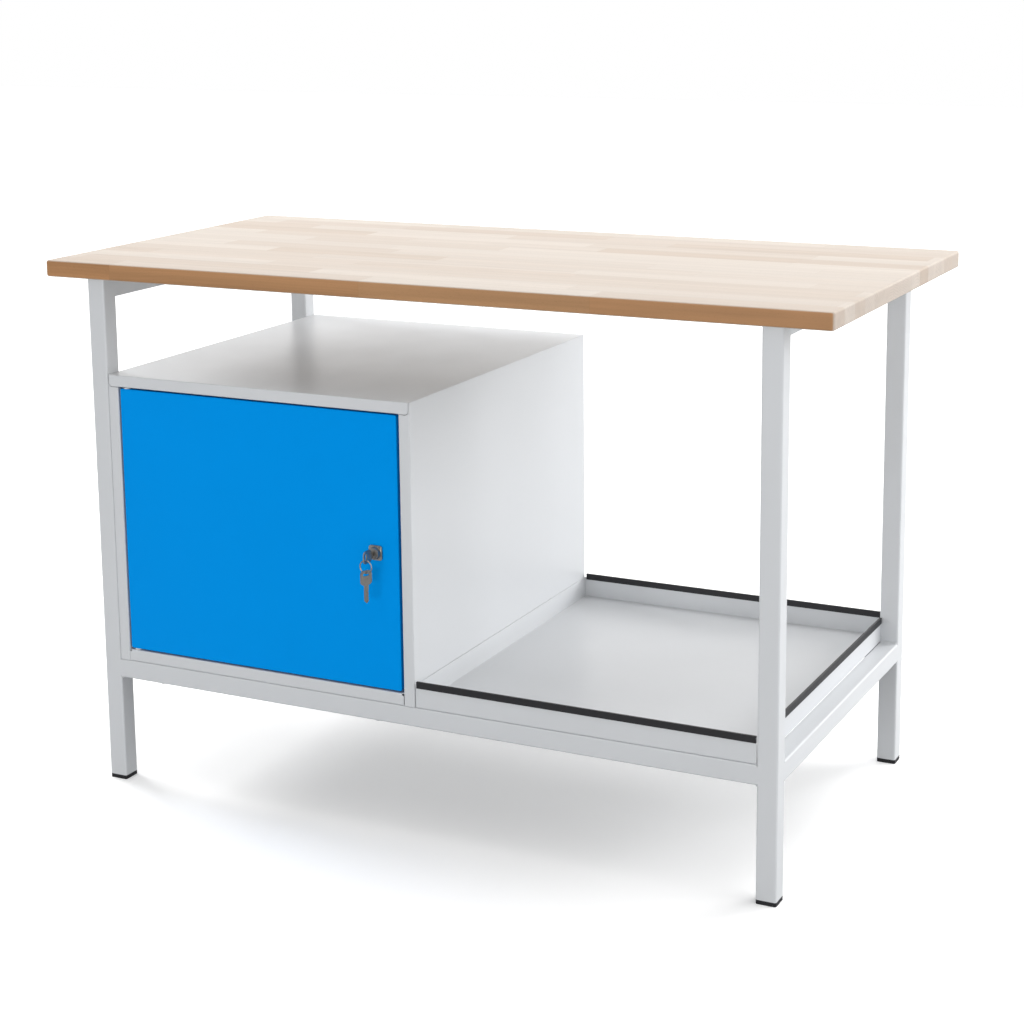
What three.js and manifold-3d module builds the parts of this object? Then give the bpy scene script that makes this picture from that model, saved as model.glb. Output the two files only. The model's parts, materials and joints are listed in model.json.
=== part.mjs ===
// A workbench: a beech worktop on a welded frame of square tube, with a lockable sheet-steel
// cabinet under its left half and an open tray under its right half.
// Millimetres, +Z up, front towards -Y. The origin is on the floor, under the middle of the worktop.
import * as THREE from "three";
import { mergeVertices } from "three/addons/utils/BufferGeometryUtils.js";
import Module from "manifold-3d";

// Worktop
const topLength = 1250;
const topDepth = 620;
const topThickness = 25;
const topSurfaceHeight = 825;
const topEdgeRadius = 3;
const topCornerRadius = 5;
const topOverhangAtEnds = 70;
const topOverhangAtFront = 10;

// Frame of square tube, with upper side rails of steel angle as high as the tube
const tubeSize = 30;
const tubeWall = 2;
const tubeCornerRadius = 3;
const angleWall = 3;
const angleRootRadius = 3;
const lowerRailUnderside = 170;
const footHeight = 6;
const footPlugLength = 18;
const footPlugWall = 2.5;

// Screws that hold the worktop, from below through the upper side rails
const topScrewInset = 60; // from the legs
const topScrewShankRadius = 2.5;
const topScrewHeadRadius = 5;
const topScrewHeadHeight = 3.5;
const topScrewGrip = 16; // depth in the wood
const topScrewCrownRadius = 3.5;
const topScrewRimHeight = 1.75;
const topScrewPointLength = 5;

// Sheet steel of the cabinet, door and tray
const sheet = 1;
const bendRadius = 1.5; // at the middle of the sheet

// Cabinet
const cabinetWidth = 525;
const cabinetHeight = 453;
const stileWidth = 18; // front frame round the door
const lidFlangeCornerRadius = 6;
const lidFlangeSeam = 0.8; // round the lid's front flange
const cornerRelief = 3;
const foldWidth = 12; // hidden folds that the panels are welded by

// Bolts that hold the cabinet, from below through the front and rear rails
const boltInset = 70; // from the cabinet's sides
const boltRadius = 3;
const boltHeadRadius = 5.8;
const boltHeadHeight = 4;
const nutHeight = 5;
const boltEnd = 2; // past the nut

// Shelf
const shelfHeight = 215; // its top above the cabinet's underside
const shelfSetback = 65; // behind the cabinet's front
const shelfLip = 20;
const shelfLipReturn = 10;
const shelfPlay = 0.8; // at each side
const supportSheet = 1.5;
const supportWidth = 18;
const supportHeight = 18;

// Door
const doorDepth = 18;
const doorRecess = 1.5; // behind the cabinet's front
const doorGapHinge = 2.5;
const doorGapLock = 4.5;
const doorGapTop = 2.5;
const doorGapBottom = 2.5;
const doorEdgeRadius = 1.5;
const doorLip = 12;
const pivotInset = 10; // from the door's hinged edge
const pivotSetback = 6; // behind the door's face
const pinRadius = 3;
const pinHeadRadius = 5;
const pinHeadHeight = 2;
const pinEngagement = 10; // length inside the door
const bushRadius = 4.2;
const bushFlangeRadius = 5.8;
const bushLength = 6;
const stiffenerWidth = 24;
const stiffenerFoot = 14;
const stiffenerDepth = 12;
const stopWidth = 15; // of the strip that the door closes on, inside the opening
const stopThickness = 1.5;
const bufferThickness = 3;
const bufferRadius = 4;
const bufferInset = 60; // from the ends of the door

// Lock in the door, and its keys
const lockInset = 37.5; // from the door's free edge
const lockPlateSize = 22;
const lockPlateThickness = 2.5;
const lockPlateCornerRadius = 4;
const lockCollarRadius = 9.5;
const lockCollarFrontRadius = 8.5;
const lockCollarLength = 9; // in front of the door
const lockBarrelRadius = 9;
const lockNutRadius = 14;
const lockNutThickness = 5;
const plugRadius = 6;
const plugRecess = 0.6; // behind the collar's front
const plugSquare = 7; // where the cam fits
const camClearance = 1; // behind the stop strip
const camThickness = 3;
const camHubRadius = 10;
const camTipRadius = 7;
const camTipClearance = 2; // to the cabinet's stile
const camScrewRadius = 2;
const camScrewHeadRadius = 5;
const camScrewHeadHeight = 3;
const camScrewCrownRadius = 3.5;
const camScrewRimHeight = 1.5;
const camScrewGrip = 5;
const keyThickness = 2;
const keyBladeWidth = 7;
const keyBladeLength = 21;
const keyBitDepth = 1.6;
const keyShallowBitDepth = 1;
const keyBitPitch = 3.6;
const keyBitCount = Math.floor((keyBladeLength - keyBladeWidth / 2) / keyBitPitch - 1 / 2); // clear of tip
const keyShoulder = 6; // between the lock and the bow
const keyBowLength = 22;
const keyBowWidth = 19;
const keyBowCornerRadius = 6;
const keyHoleRadius = 2.4;
const keyHoleSpan = 11; // across the bow
const keyHoleInset = 6; // its middle, from the bow's end
const ringRadius = 9.5; // at the middle of the wire
const ringWireRadius = 0.9;
const spareKeyTurn = THREE.MathUtils.degToRad(-26);

// Tray
const trayWallHeight = 38;
const trayLeftWallHeight = 34;
const trimWidth = 4;
const trimHeight = 10;
const trimCap = 2;
const trayLap = 2; // over the right rail

// Clearances
const seatGap = 0.2; // between pieces that rest on or are fixed to each other
const runGap = 0.3; // between pieces that turn in each other
const seamGap = 0.4; // open seam between two sheet edges

// Facets of bends, rounded edges, round pieces and hexagons
const bendSteps = 3;
const arcSteps = 4;
const roundSteps = 20;
const ringSteps = 32;
const wireSteps = 8;
const hexSides = 6;

// How far a cutting tool runs past what it cuts, and how near two vertices are to be one
const cutMargin = 1;
const sameVertex = 1e-4;

// Sizes that follow from these
const frameLength = topLength - 2 * topOverhangAtEnds;
const frameDepth = topDepth - 2 * topOverhangAtFront;
const legTop = topSurfaceHeight - topThickness - seatGap;
const legX = (frameLength - tubeSize) / 2;
const legY = (frameDepth - tubeSize) / 2;
const clearLength = frameLength - 2 * tubeSize;
const clearDepth = frameDepth - 2 * tubeSize;
const railTop = lowerRailUnderside + tubeSize;
const halfSheet = sheet / 2;
const bendInside = bendRadius - halfSheet;
const stileReturn = doorRecess + doorDepth + bufferThickness;
const doorWidth = cabinetWidth - 2 * stileWidth - doorGapHinge - doorGapLock;
const doorHeight = cabinetHeight - 2 * stileWidth - doorGapTop - doorGapBottom;
const doorBottom = stileWidth + doorGapBottom;
const pivotX = stileWidth + doorGapHinge + pivotInset;
const pivotY = doorRecess + pivotSetback;
const cabinetLeft = -clearLength / 2 + seatGap;
const trayLeft = cabinetLeft + cabinetWidth + seamGap;
const trayWidth = clearLength / 2 - trayLeft + trayLap;

const finishes = {
  beech: { color: 0xe6d2b8, roughness: 0.55, metalness: 0 },
  greyPaint: { color: 0xd6d9dc, roughness: 0.4, metalness: 0 },
  bluePaint: { color: 0x0a8fe6, roughness: 0.45, metalness: 0 },
  blackPlastic: { color: 0x1d1e20, roughness: 0.6, metalness: 0 },
  nylon: { color: 0xe6e4dc, roughness: 0.5, metalness: 0 },
  rubber: { color: 0x26272a, roughness: 0.85, metalness: 0 },
  zinc: { color: 0xa9adb2, roughness: 0.35, metalness: 1 },
  nickel: { color: 0xb9b5ad, roughness: 0.25, metalness: 1 },
};

const wasm = await Module();
wasm.setup();

const xAxis = new THREE.Vector3(1, 0, 0);
const yAxis = new THREE.Vector3(0, 1, 0);
const zAxis = new THREE.Vector3(0, 0, 1);

// A closed geometry as a solid that can be joined and cut.
function solidOf(geometry) {
  const bare = geometry.clone();
  bare.deleteAttribute("normal");
  bare.deleteAttribute("uv");
  const merged = mergeVertices(bare, sameVertex);
  const corners = merged.index.array;
  const triVerts = [];
  for (let i = 0; i < corners.length; i += 3) {
    const [a, b, c] = corners.slice(i, i + 3);
    if (a !== b && b !== c && c !== a) triVerts.push(a, b, c);
  }
  const vertProperties = merged.getAttribute("position").array;
  const mesh = new wasm.Mesh({ numProp: 3, vertProperties, triVerts: new Uint32Array(triVerts) });
  return new wasm.Manifold(mesh);
}

function geometryOf(solid) {
  const mesh = solid.getMesh();
  const geometry = new THREE.BufferGeometry();
  geometry.setAttribute("position", new THREE.BufferAttribute(mesh.vertProperties, 3));
  geometry.setIndex(new THREE.BufferAttribute(mesh.triVerts, 1));
  const flat = geometry.toNonIndexed();
  flat.computeVertexNormals();
  return flat;
}

function join(...geometries) {
  return geometryOf(geometries.map(solidOf).reduce((whole, next) => whole.add(next)));
}

function cut(geometry, ...tools) {
  return geometryOf(tools.map(solidOf).reduce((rest, tool) => rest.subtract(tool), solidOf(geometry)));
}

function common(first, second) {
  return geometryOf(solidOf(first).intersect(solidOf(second)));
}

function box(x0, x1, y0, y1, z0, z1) {
  const geometry = new THREE.BoxGeometry(Math.abs(x1 - x0), Math.abs(y1 - y0), Math.abs(z1 - z0));
  return geometry.translate((x0 + x1) / 2, (y0 + y1) / 2, (z0 + z1) / 2);
}

function extrude(shape, length) {
  return new THREE.ExtrudeGeometry(shape, {
    depth: length,
    bevelEnabled: false,
    curveSegments: arcSteps,
  });
}

// A shape drawn in Y and Z, extruded along X.
function alongX(shape, from, to) {
  const turn = new THREE.Matrix4().makeBasis(yAxis, zAxis, xAxis);
  return extrude(shape, to - from).applyMatrix4(turn).translate(from, 0, 0);
}

// A shape drawn in X and Z, extruded along Y.
function alongY(shape, from, to) {
  const turn = new THREE.Matrix4().makeBasis(xAxis, zAxis, yAxis.clone().negate());
  return extrude(shape, to - from).applyMatrix4(turn).translate(0, to, 0);
}

// A shape drawn in X and Y, extruded along Z.
function alongZ(shape, from, to) {
  return extrude(shape, to - from).translate(0, 0, from);
}

function rodAlongY(radius, from, to, sides = roundSteps) {
  const rod = new THREE.CylinderGeometry(radius, radius, to - from, sides);
  return rod.translate(0, (from + to) / 2, 0);
}

function rodAlongZ(radius, from, to, sides = roundSteps) {
  return rodAlongY(radius, from, to, sides).rotateX(Math.PI / 2);
}

// A turned piece round Z. The profile lists radius and height, from the bottom up on the outside.
function turnedAlongZ(profile) {
  const points = profile.map(([radius, height]) => new THREE.Vector2(radius, height));
  return new THREE.LatheGeometry(points, roundSteps).rotateX(Math.PI / 2);
}

function polygon(points) {
  return new THREE.Shape(points.map(([x, y]) => new THREE.Vector2(x, y)));
}

function roundedRectangle(width, height, radius) {
  const x = width / 2 - radius;
  const y = height / 2 - radius;
  const shape = new THREE.Shape();
  shape.absarc(x, y, radius, 0, Math.PI / 2);
  shape.absarc(-x, y, radius, Math.PI / 2, Math.PI);
  shape.absarc(-x, -y, radius, Math.PI, Math.PI * 1.5);
  shape.absarc(x, -y, radius, Math.PI * 1.5, Math.PI * 2);
  return shape;
}

// A slab in X and Y, from z = 0 up, with all its edges rounded.
function roundedSlab(width, depth, thickness, edgeRadius, cornerRadius) {
  const slab = new THREE.ExtrudeGeometry(roundedRectangle(width, depth, cornerRadius), {
    depth: thickness - 2 * edgeRadius,
    bevelThickness: edgeRadius,
    bevelSize: edgeRadius,
    bevelOffset: -edgeRadius,
    bevelSegments: bendSteps,
    curveSegments: arcSteps,
  });
  return slab.translate(0, 0, edgeRadius);
}

// The section of a bent sheet. The points follow the middle of the sheet, which is rounded at each bend.
function bentSheet(points, thickness = sheet) {
  const path = points.map(([x, y]) => new THREE.Vector2(x, y));
  const last = path.length - 1;
  const left = [];
  const right = [];
  function addPair(point, direction) {
    const side = new THREE.Vector2(-direction.y, direction.x).multiplyScalar(thickness / 2);
    left.push(point.clone().add(side));
    right.unshift(point.clone().sub(side));
  }
  path.forEach((point, i) => {
    const arriving = i > 0 ? point.clone().sub(path[i - 1]).normalize() : null;
    const leaving = i < last ? path[i + 1].clone().sub(point).normalize() : null;
    if (!arriving || !leaving) {
      addPair(point, arriving ?? leaving);
      return;
    }
    const turn = Math.atan2(arriving.cross(leaving), arriving.dot(leaving));
    const start = point.clone().addScaledVector(arriving, -bendRadius * Math.tan(Math.abs(turn) / 2));
    const inward = new THREE.Vector2(-arriving.y, arriving.x).multiplyScalar(Math.sign(turn) * bendRadius);
    const centre = start.clone().add(inward);
    for (let step = 0; step <= bendSteps; step += 1) {
      const angle = (turn * step) / bendSteps;
      const direction = arriving.clone().rotateAround(new THREE.Vector2(), angle);
      addPair(start.clone().rotateAround(centre, angle), direction);
    }
  });
  return new THREE.Shape([...left, ...right]);
}

function addPiece(group, name, geometry, finish) {
  const mesh = new THREE.Mesh(geometry, new THREE.MeshStandardMaterial(finish));
  mesh.name = name;
  group.add(mesh);
  return mesh;
}

function addGroup(parent, x, y, z) {
  const group = new THREE.Group();
  group.position.set(x, y, z);
  parent.add(group);
  return group;
}

// Worktop

function topScrewPlaces() {
  const reach = clearDepth / 2 - topScrewInset;
  return { front: -reach, middle: 0, rear: reach };
}

function worktopGeometry() {
  const slab = roundedSlab(topLength, topDepth, topThickness, topEdgeRadius, topCornerRadius);
  const pilotHoles = [];
  for (const x of [-legX, legX]) {
    for (const y of Object.values(topScrewPlaces())) {
      const hole = rodAlongZ(topScrewShankRadius + seatGap, -cutMargin, topScrewGrip + seatGap);
      pilotHoles.push(hole.translate(x, y, 0));
    }
  }
  return cut(slab, ...pilotHoles).translate(0, 0, topSurfaceHeight - topThickness);
}

function topScrewGeometry() {
  const length = angleWall + 2 * seatGap + topScrewGrip;
  return turnedAlongZ([
    [0, -topScrewHeadHeight],
    [topScrewCrownRadius, -topScrewHeadHeight],
    [topScrewHeadRadius, -topScrewRimHeight],
    [topScrewHeadRadius, 0],
    [topScrewShankRadius, 0],
    [topScrewShankRadius, length - topScrewPointLength],
    [0, length],
  ]);
}

// Frame

function tubeSection() {
  const bore = tubeSize - 2 * tubeWall;
  const boreCorner = Math.max(tubeCornerRadius - tubeWall, tubeWall / 4);
  const section = roundedRectangle(tubeSize, tubeSize, tubeCornerRadius);
  section.holes.push(roundedRectangle(bore, bore, boreCorner));
  return section;
}

function railAlongX() {
  const length = clearLength - 2 * seatGap;
  return alongX(tubeSection(), -length / 2, length / 2);
}

function railAlongY() {
  const length = clearDepth - 2 * seatGap;
  return alongY(tubeSection(), -length / 2, length / 2);
}

// An angle with one limb under the worktop and one limb down, flush with the inside of the left legs.
function upperRailGeometry() {
  const half = tubeSize / 2;
  const limb = half - angleWall;
  const flange = tubeSize - angleWall;
  const section = new THREE.Shape();
  section.moveTo(half, tubeSize);
  section.lineTo(-half, tubeSize);
  section.lineTo(-half, flange);
  section.absarc(limb - angleRootRadius, flange - angleRootRadius, angleRootRadius, Math.PI / 2, 0, true);
  section.lineTo(limb, 0);
  section.lineTo(half, 0);
  const length = clearDepth - 2 * seatGap;
  const screwHoles = Object.values(topScrewPlaces()).map((y) =>
    rodAlongZ(topScrewShankRadius + runGap, flange - cutMargin, tubeSize + cutMargin).translate(0, y, 0),
  );
  return cut(alongY(section, -length / 2, length / 2), ...screwHoles);
}

function footGeometry() {
  const plugSize = tubeSize - 2 * tubeWall - 2 * seatGap;
  const plugBore = plugSize - 2 * footPlugWall;
  const plugCorner = footPlugWall / 2;
  const plug = roundedRectangle(plugSize, plugSize, plugCorner);
  plug.holes.push(roundedRectangle(plugBore, plugBore, plugCorner / 2));
  const pad = alongZ(roundedRectangle(tubeSize, tubeSize, tubeCornerRadius), 0, footHeight);
  return join(pad, alongZ(plug, footHeight / 2, footHeight + footPlugLength));
}

function addFrame(parent) {
  const frame = addGroup(parent, 0, 0, 0);
  const ends = { left: -legX, right: legX };
  const sides = { front: -legY, rear: legY };
  for (const [side, y] of Object.entries(sides)) {
    for (const [end, x] of Object.entries(ends)) {
      const leg = addPiece(
        frame,
        `${side}_${end}_leg`,
        alongZ(tubeSection(), footHeight + seatGap, legTop),
        finishes.greyPaint,
      );
      leg.position.set(x, y, 0);
      const foot = addPiece(frame, `${side}_${end}_foot`, footGeometry(), finishes.blackPlastic);
      foot.position.set(x, y, 0);
    }
    const boltHoles = Object.values(boltPlaces()).map((x) =>
      rodAlongZ(boltRadius + runGap, -tubeSize, tubeSize).translate(x, 0, 0),
    );
    const drilledRail = cut(railAlongX(), ...boltHoles);
    const rail = addPiece(frame, `lower_${side}_rail`, drilledRail, finishes.greyPaint);
    rail.position.set(0, y, lowerRailUnderside + tubeSize / 2);
  }
  for (const [end, x] of Object.entries(ends)) {
    const lowerRail = addPiece(frame, `lower_${end}_rail`, railAlongY(), finishes.greyPaint);
    lowerRail.position.set(x, 0, lowerRailUnderside + tubeSize / 2);
    const upperRail = addPiece(frame, `upper_${end}_rail`, upperRailGeometry(), finishes.greyPaint);
    upperRail.rotation.z = end === "right" ? Math.PI : 0;
    upperRail.position.set(x, 0, legTop - tubeSize);
    for (const [place, y] of Object.entries(topScrewPlaces())) {
      const screw = addPiece(frame, `top_screw_${end}_${place}`, topScrewGeometry(), finishes.zinc);
      screw.position.set(x, y, legTop - angleWall - seatGap);
    }
  }
}

// Cabinet. Its group's origin is its lower left front corner.

function boltPlaces() {
  return { left: cabinetLeft + boltInset, right: cabinetLeft + cabinetWidth - boltInset };
}

// The lid's front flange between the two sides, with its lower corners rounded, and grown by a gap.
function lidFlangeShape(gap) {
  const x0 = sheet + lidFlangeSeam - gap;
  const x1 = cabinetWidth - x0;
  const z0 = cabinetHeight - stileWidth - gap;
  const z1 = cabinetHeight + cutMargin;
  const radius = lidFlangeCornerRadius + gap;
  const shape = new THREE.Shape();
  shape.moveTo(x1, z1);
  shape.lineTo(x0, z1);
  shape.absarc(x0 + radius, z0 + radius, radius, Math.PI, Math.PI * 1.5);
  shape.absarc(x1 - radius, z0 + radius, radius, Math.PI * 1.5, Math.PI * 2);
  return shape;
}

function lidGeometry() {
  const top = cabinetHeight - halfSheet;
  const flangeFoot = cabinetHeight - stileWidth;
  const inner = stileWidth + seamGap;
  const front = alongX(
    bentSheet([
      [stileReturn, flangeFoot + halfSheet],
      [halfSheet, flangeFoot + halfSheet],
      [halfSheet, top],
      [frameDepth, top],
    ]),
    inner,
    cabinetWidth - inner,
  );
  const ends = [
    [sheet + lidFlangeSeam, inner],
    [cabinetWidth - inner, cabinetWidth - sheet - lidFlangeSeam],
  ].map(([from, to]) => {
    const flange = alongX(
      bentSheet([
        [halfSheet, flangeFoot],
        [halfSheet, top],
        [frameDepth, top],
      ]),
      from,
      to,
    );
    return common(flange, alongY(lidFlangeShape(0), -cutMargin, frameDepth + cutMargin));
  });
  const bend = bendRadius + halfSheet;
  const plate = box(0, cabinetWidth, bend, frameDepth, cabinetHeight - sheet, cabinetHeight);
  const pinHole = rodAlongZ(pinRadius + runGap, flangeFoot - cutMargin, flangeFoot + sheet + cutMargin);
  return cut(join(front, ...ends, plate), pinHole.translate(pivotX, pivotY, 0));
}

// One side: stile, side wall, rear fold and top fold.
function sideGeometry(isRight) {
  const across = (x) => (isRight ? cabinetWidth - x : x);
  const section = [
    [stileWidth - halfSheet, stileReturn],
    [stileWidth - halfSheet, halfSheet],
    [halfSheet, halfSheet],
    [halfSheet, frameDepth - halfSheet],
    [foldWidth, frameDepth - halfSheet],
  ].map(([x, y]) => [across(x), y]);
  const top = cabinetHeight - sheet - seatGap;
  const panel = alongZ(bentSheet(section), 0, top);
  const topFold = box(
    across(0),
    across(foldWidth),
    stileReturn + seamGap,
    frameDepth - 2 * sheet - 2 * seatGap - seamGap,
    top - sheet,
    top,
  );
  const lidRoom = alongY(lidFlangeShape(lidFlangeSeam), -cutMargin, stileReturn + seamGap);
  return cut(join(panel, topFold), lidRoom);
}

// The strip behind the free stile that the door closes on.
const stopFront = stileReturn + seatGap;

function stopStripGeometry() {
  const stile = cabinetWidth - stileWidth;
  return box(
    stile - stopWidth,
    stile + sheet,
    stopFront,
    stopFront + stopThickness,
    stileWidth + seamGap,
    cabinetHeight - stileWidth - seamGap,
  );
}

function floorGeometry() {
  const x0 = sheet + seatGap + halfSheet;
  const x1 = cabinetWidth - x0;
  const rear = frameDepth - sheet - Math.max(sheet, bendInside) - 2 * seatGap; // in front of the back
  const pan = alongY(
    bentSheet([
      [x0, foldWidth],
      [x0, halfSheet],
      [x1, halfSheet],
      [x1, foldWidth],
    ]),
    stileReturn + seamGap,
    rear,
  );
  const inner = stileWidth + seamGap;
  const sill = alongX(
    bentSheet([
      [stileReturn, stileWidth - halfSheet],
      [halfSheet, stileWidth - halfSheet],
      [halfSheet, halfSheet],
      [stileReturn + foldWidth, halfSheet],
    ]),
    inner,
    cabinetWidth - inner,
  );
  const reliefs = [inner, cabinetWidth - inner].map((x) =>
    box(
      x - cornerRelief,
      x + cornerRelief,
      -cutMargin,
      bendRadius + sheet,
      stileWidth - cornerRelief,
      stileWidth + cutMargin,
    ),
  );
  const pinHole = rodAlongZ(pinRadius + runGap, stileWidth - sheet - cutMargin, stileWidth + cutMargin);
  const boltHoles = [];
  for (const x of Object.values(boltPlaces())) {
    for (const y of [-legY, legY]) {
      const hole = rodAlongZ(boltRadius + runGap, -cutMargin, sheet + cutMargin);
      boltHoles.push(hole.translate(x - cabinetLeft, y + frameDepth / 2, 0));
    }
  }
  return cut(join(pan, sill), ...reliefs, pinHole.translate(pivotX, pivotY, 0), ...boltHoles);
}

function backGeometry() {
  const inset = sheet + bendInside + seatGap;
  const rear = frameDepth - sheet - seatGap;
  return box(
    inset,
    cabinetWidth - inset,
    rear - sheet,
    rear,
    sheet + seatGap,
    cabinetHeight - sheet - seatGap,
  );
}

function boltGeometry() {
  const length = tubeSize + 3 * seatGap + sheet + seatGap + nutHeight + boltEnd;
  const head = rodAlongZ(boltHeadRadius, -boltHeadHeight, 0, hexSides);
  return join(head, rodAlongZ(boltRadius, -boltHeadHeight / 2, length));
}

function nutGeometry() {
  const bore = rodAlongZ(boltRadius + seatGap, -cutMargin, nutHeight + cutMargin);
  return cut(rodAlongZ(boltHeadRadius, 0, nutHeight, hexSides), bore);
}

function addCabinetBolts(bench) {
  for (const [side, y] of [
    ["front", -legY],
    ["rear", legY],
  ]) {
    for (const [end, x] of Object.entries(boltPlaces())) {
      const bolt = addPiece(bench, `cabinet_bolt_${side}_${end}`, boltGeometry(), finishes.zinc);
      bolt.position.set(x, y, lowerRailUnderside - seatGap);
      const nut = addPiece(bench, `cabinet_nut_${side}_${end}`, nutGeometry(), finishes.zinc);
      nut.position.set(x, y, railTop + seatGap + sheet + seatGap);
    }
  }
}

const shelfRear = frameDepth - 2 * sheet - 3 * seatGap - seamGap;

function shelfGeometry() {
  const under = shelfHeight - shelfLip + halfSheet;
  const top = shelfHeight - halfSheet;
  const inset = sheet + shelfPlay;
  const section = bentSheet([
    [shelfSetback + shelfLipReturn, under],
    [shelfSetback + halfSheet, under],
    [shelfSetback + halfSheet, top],
    [shelfRear - halfSheet, top],
    [shelfRear - halfSheet, under],
  ]);
  return alongX(section, inset, cabinetWidth - inset);
}

function shelfSupportGeometry(isRight) {
  const across = (x) => (isRight ? cabinetWidth - x : x);
  const wall = across(sheet + seatGap + supportSheet / 2);
  const top = shelfHeight - sheet - seatGap - supportSheet / 2;
  const section = bentSheet(
    [
      [wall, top - supportHeight],
      [wall, top],
      [across(sheet + seatGap + supportWidth), top],
    ],
    supportSheet,
  );
  return alongY(section, shelfSetback + shelfLipReturn + seamGap, shelfRear - sheet - bendRadius);
}

// Hinge pins, fixed in the lid's and the sill's folds.

function hingePinGeometry(gap) {
  const length = sheet + seatGap + gap + pinEngagement;
  return turnedAlongZ([
    [0, -length],
    [pinRadius - seatGap, -length],
    [pinRadius, seatGap - length],
    [pinRadius, 0],
    [pinHeadRadius, 0],
    [pinHeadRadius, pinHeadHeight],
    [0, pinHeadHeight],
  ]);
}

function addHingePins(cabinet) {
  const upper = addPiece(cabinet, "upper_hinge_pin", hingePinGeometry(doorGapTop), finishes.zinc);
  upper.position.set(pivotX, pivotY, cabinetHeight - stileWidth + sheet + seatGap);
  const lower = addPiece(cabinet, "lower_hinge_pin", hingePinGeometry(doorGapBottom), finishes.zinc);
  lower.position.set(pivotX, pivotY, stileWidth - sheet - seatGap);
  lower.rotation.x = Math.PI;
}

function addBuffers(cabinet) {
  const x = cabinetWidth - stileWidth - doorGapLock - bufferRadius;
  const y = stopFront - seatGap;
  for (const [place, z] of [
    ["upper", doorBottom + doorHeight - bufferInset],
    ["lower", doorBottom + bufferInset],
  ]) {
    const pad = rodAlongY(bufferRadius, runGap - bufferThickness, 0);
    addPiece(cabinet, `${place}_door_buffer`, pad, finishes.rubber).position.set(x, y, z);
  }
}

// Door. Its group's origin is on the hinge axis, level with the door's lower edge.

const doorLeft = -pivotInset;
const doorRight = doorWidth - pivotInset;
const doorFace = -pivotSetback;
const doorRear = doorDepth - pivotSetback;
const lockX = doorRight - lockInset;
const lockZ = doorHeight / 2;

function doorPanelGeometry() {
  const outer = roundedSlab(doorWidth, doorHeight, doorDepth, doorEdgeRadius, doorEdgeRadius * 2);
  outer.rotateX(Math.PI / 2).translate((doorLeft + doorRight) / 2, doorRear, doorHeight / 2);
  const hollow = box(
    doorLeft + sheet,
    doorRight - sheet,
    doorFace + sheet,
    doorRear - sheet,
    sheet,
    doorHeight - sheet,
  );
  const opening = box(
    doorLeft + doorLip,
    doorRight - doorLip,
    doorRear - sheet - cutMargin,
    doorRear + cutMargin,
    doorLip,
    doorHeight - doorLip,
  );
  const holeReach = sheet + cutMargin;
  const lockHole = rodAlongY(lockBarrelRadius + seatGap, doorFace - cutMargin, doorFace + holeReach);
  const bushHoles = [0, doorHeight].map((z) =>
    rodAlongZ(bushRadius + seatGap, z - holeReach, z + holeReach),
  );
  return cut(outer, hollow, opening, lockHole.translate(lockX, 0, lockZ), ...bushHoles);
}

function stiffenerGeometry() {
  const half = stiffenerWidth / 2;
  const foot = doorFace + sheet + seatGap + halfSheet;
  const crown = foot + stiffenerDepth - sheet;
  const section = bentSheet([
    [-half - stiffenerFoot, foot],
    [-half, foot],
    [-half, crown],
    [half, crown],
    [half, foot],
    [half + stiffenerFoot, foot],
  ]);
  const strip = alongZ(section, sheet + seamGap, doorHeight - sheet - seamGap);
  return strip.translate((doorLeft + doorRight) / 2, 0, 0);
}

// A flanged bush: its flange lies outside the door's edge, from z = 0 up, and its barrel inside.
function bushGeometry(flangeThickness) {
  const bore = pinRadius + runGap;
  return turnedAlongZ([
    [bore, -bushLength],
    [bushRadius, -bushLength],
    [bushRadius, 0],
    [bushFlangeRadius, 0],
    [bushFlangeRadius, flangeThickness],
    [bore, flangeThickness],
    [bore, -bushLength],
  ]);
}

function addBushes(door) {
  const upper = addPiece(door, "upper_hinge_bush", bushGeometry(doorGapTop / 2), finishes.nylon);
  upper.position.z = doorHeight + seatGap;
  const lowerFlange = doorGapBottom - seatGap - runGap;
  const lower = addPiece(door, "lower_hinge_bush", bushGeometry(lowerFlange), finishes.nylon);
  lower.position.z = -seatGap;
  lower.rotation.x = Math.PI;
}

// Lock. Its group's origin is on the lock's axis, at the door's face.

const camFront = stopFront + stopThickness + camClearance - doorRecess;
const plugFront = plugRecess - lockCollarLength;
const keySlotDepth = keyBladeLength + seatGap;

function lockHousingGeometry() {
  const plate = alongY(
    roundedRectangle(lockPlateSize, lockPlateSize, lockPlateCornerRadius),
    -lockPlateThickness - seatGap,
    -seatGap,
  );
  const collar = new THREE.CylinderGeometry(
    lockCollarRadius,
    lockCollarFrontRadius,
    lockCollarLength - seatGap,
    roundSteps,
  ).translate(0, -(lockCollarLength + seatGap) / 2, 0);
  const barrel = rodAlongY(lockBarrelRadius, -lockPlateThickness, camFront - runGap);
  const bore = rodAlongY(plugRadius + runGap, -lockCollarLength - cutMargin, camFront + cutMargin);
  return cut(join(plate, collar, barrel), bore);
}

function lockNutGeometry() {
  const nut = rodAlongY(lockNutRadius, 0, lockNutThickness, hexSides);
  const bore = rodAlongY(lockBarrelRadius + seatGap, -cutMargin, lockNutThickness + cutMargin);
  return cut(nut, bore).translate(0, sheet + seatGap, 0);
}

function plugGeometry() {
  const half = plugSquare / 2;
  const rear = camFront + camThickness;
  const barrel = rodAlongY(plugRadius, plugFront, camFront - seatGap);
  const square = box(-half, half, camFront - plugSquare, rear, -half, half);
  const slotX = keyThickness / 2 + seatGap;
  const slotZ = keyBladeWidth / 2 + seatGap;
  const slot = box(-slotX, slotX, plugFront - cutMargin, plugFront + keySlotDepth, -slotZ, slotZ);
  const screwHole = rodAlongY(camScrewRadius + seatGap, rear - camScrewGrip - seatGap, rear + cutMargin);
  return cut(join(barrel, square), slot, screwHole);
}

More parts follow.
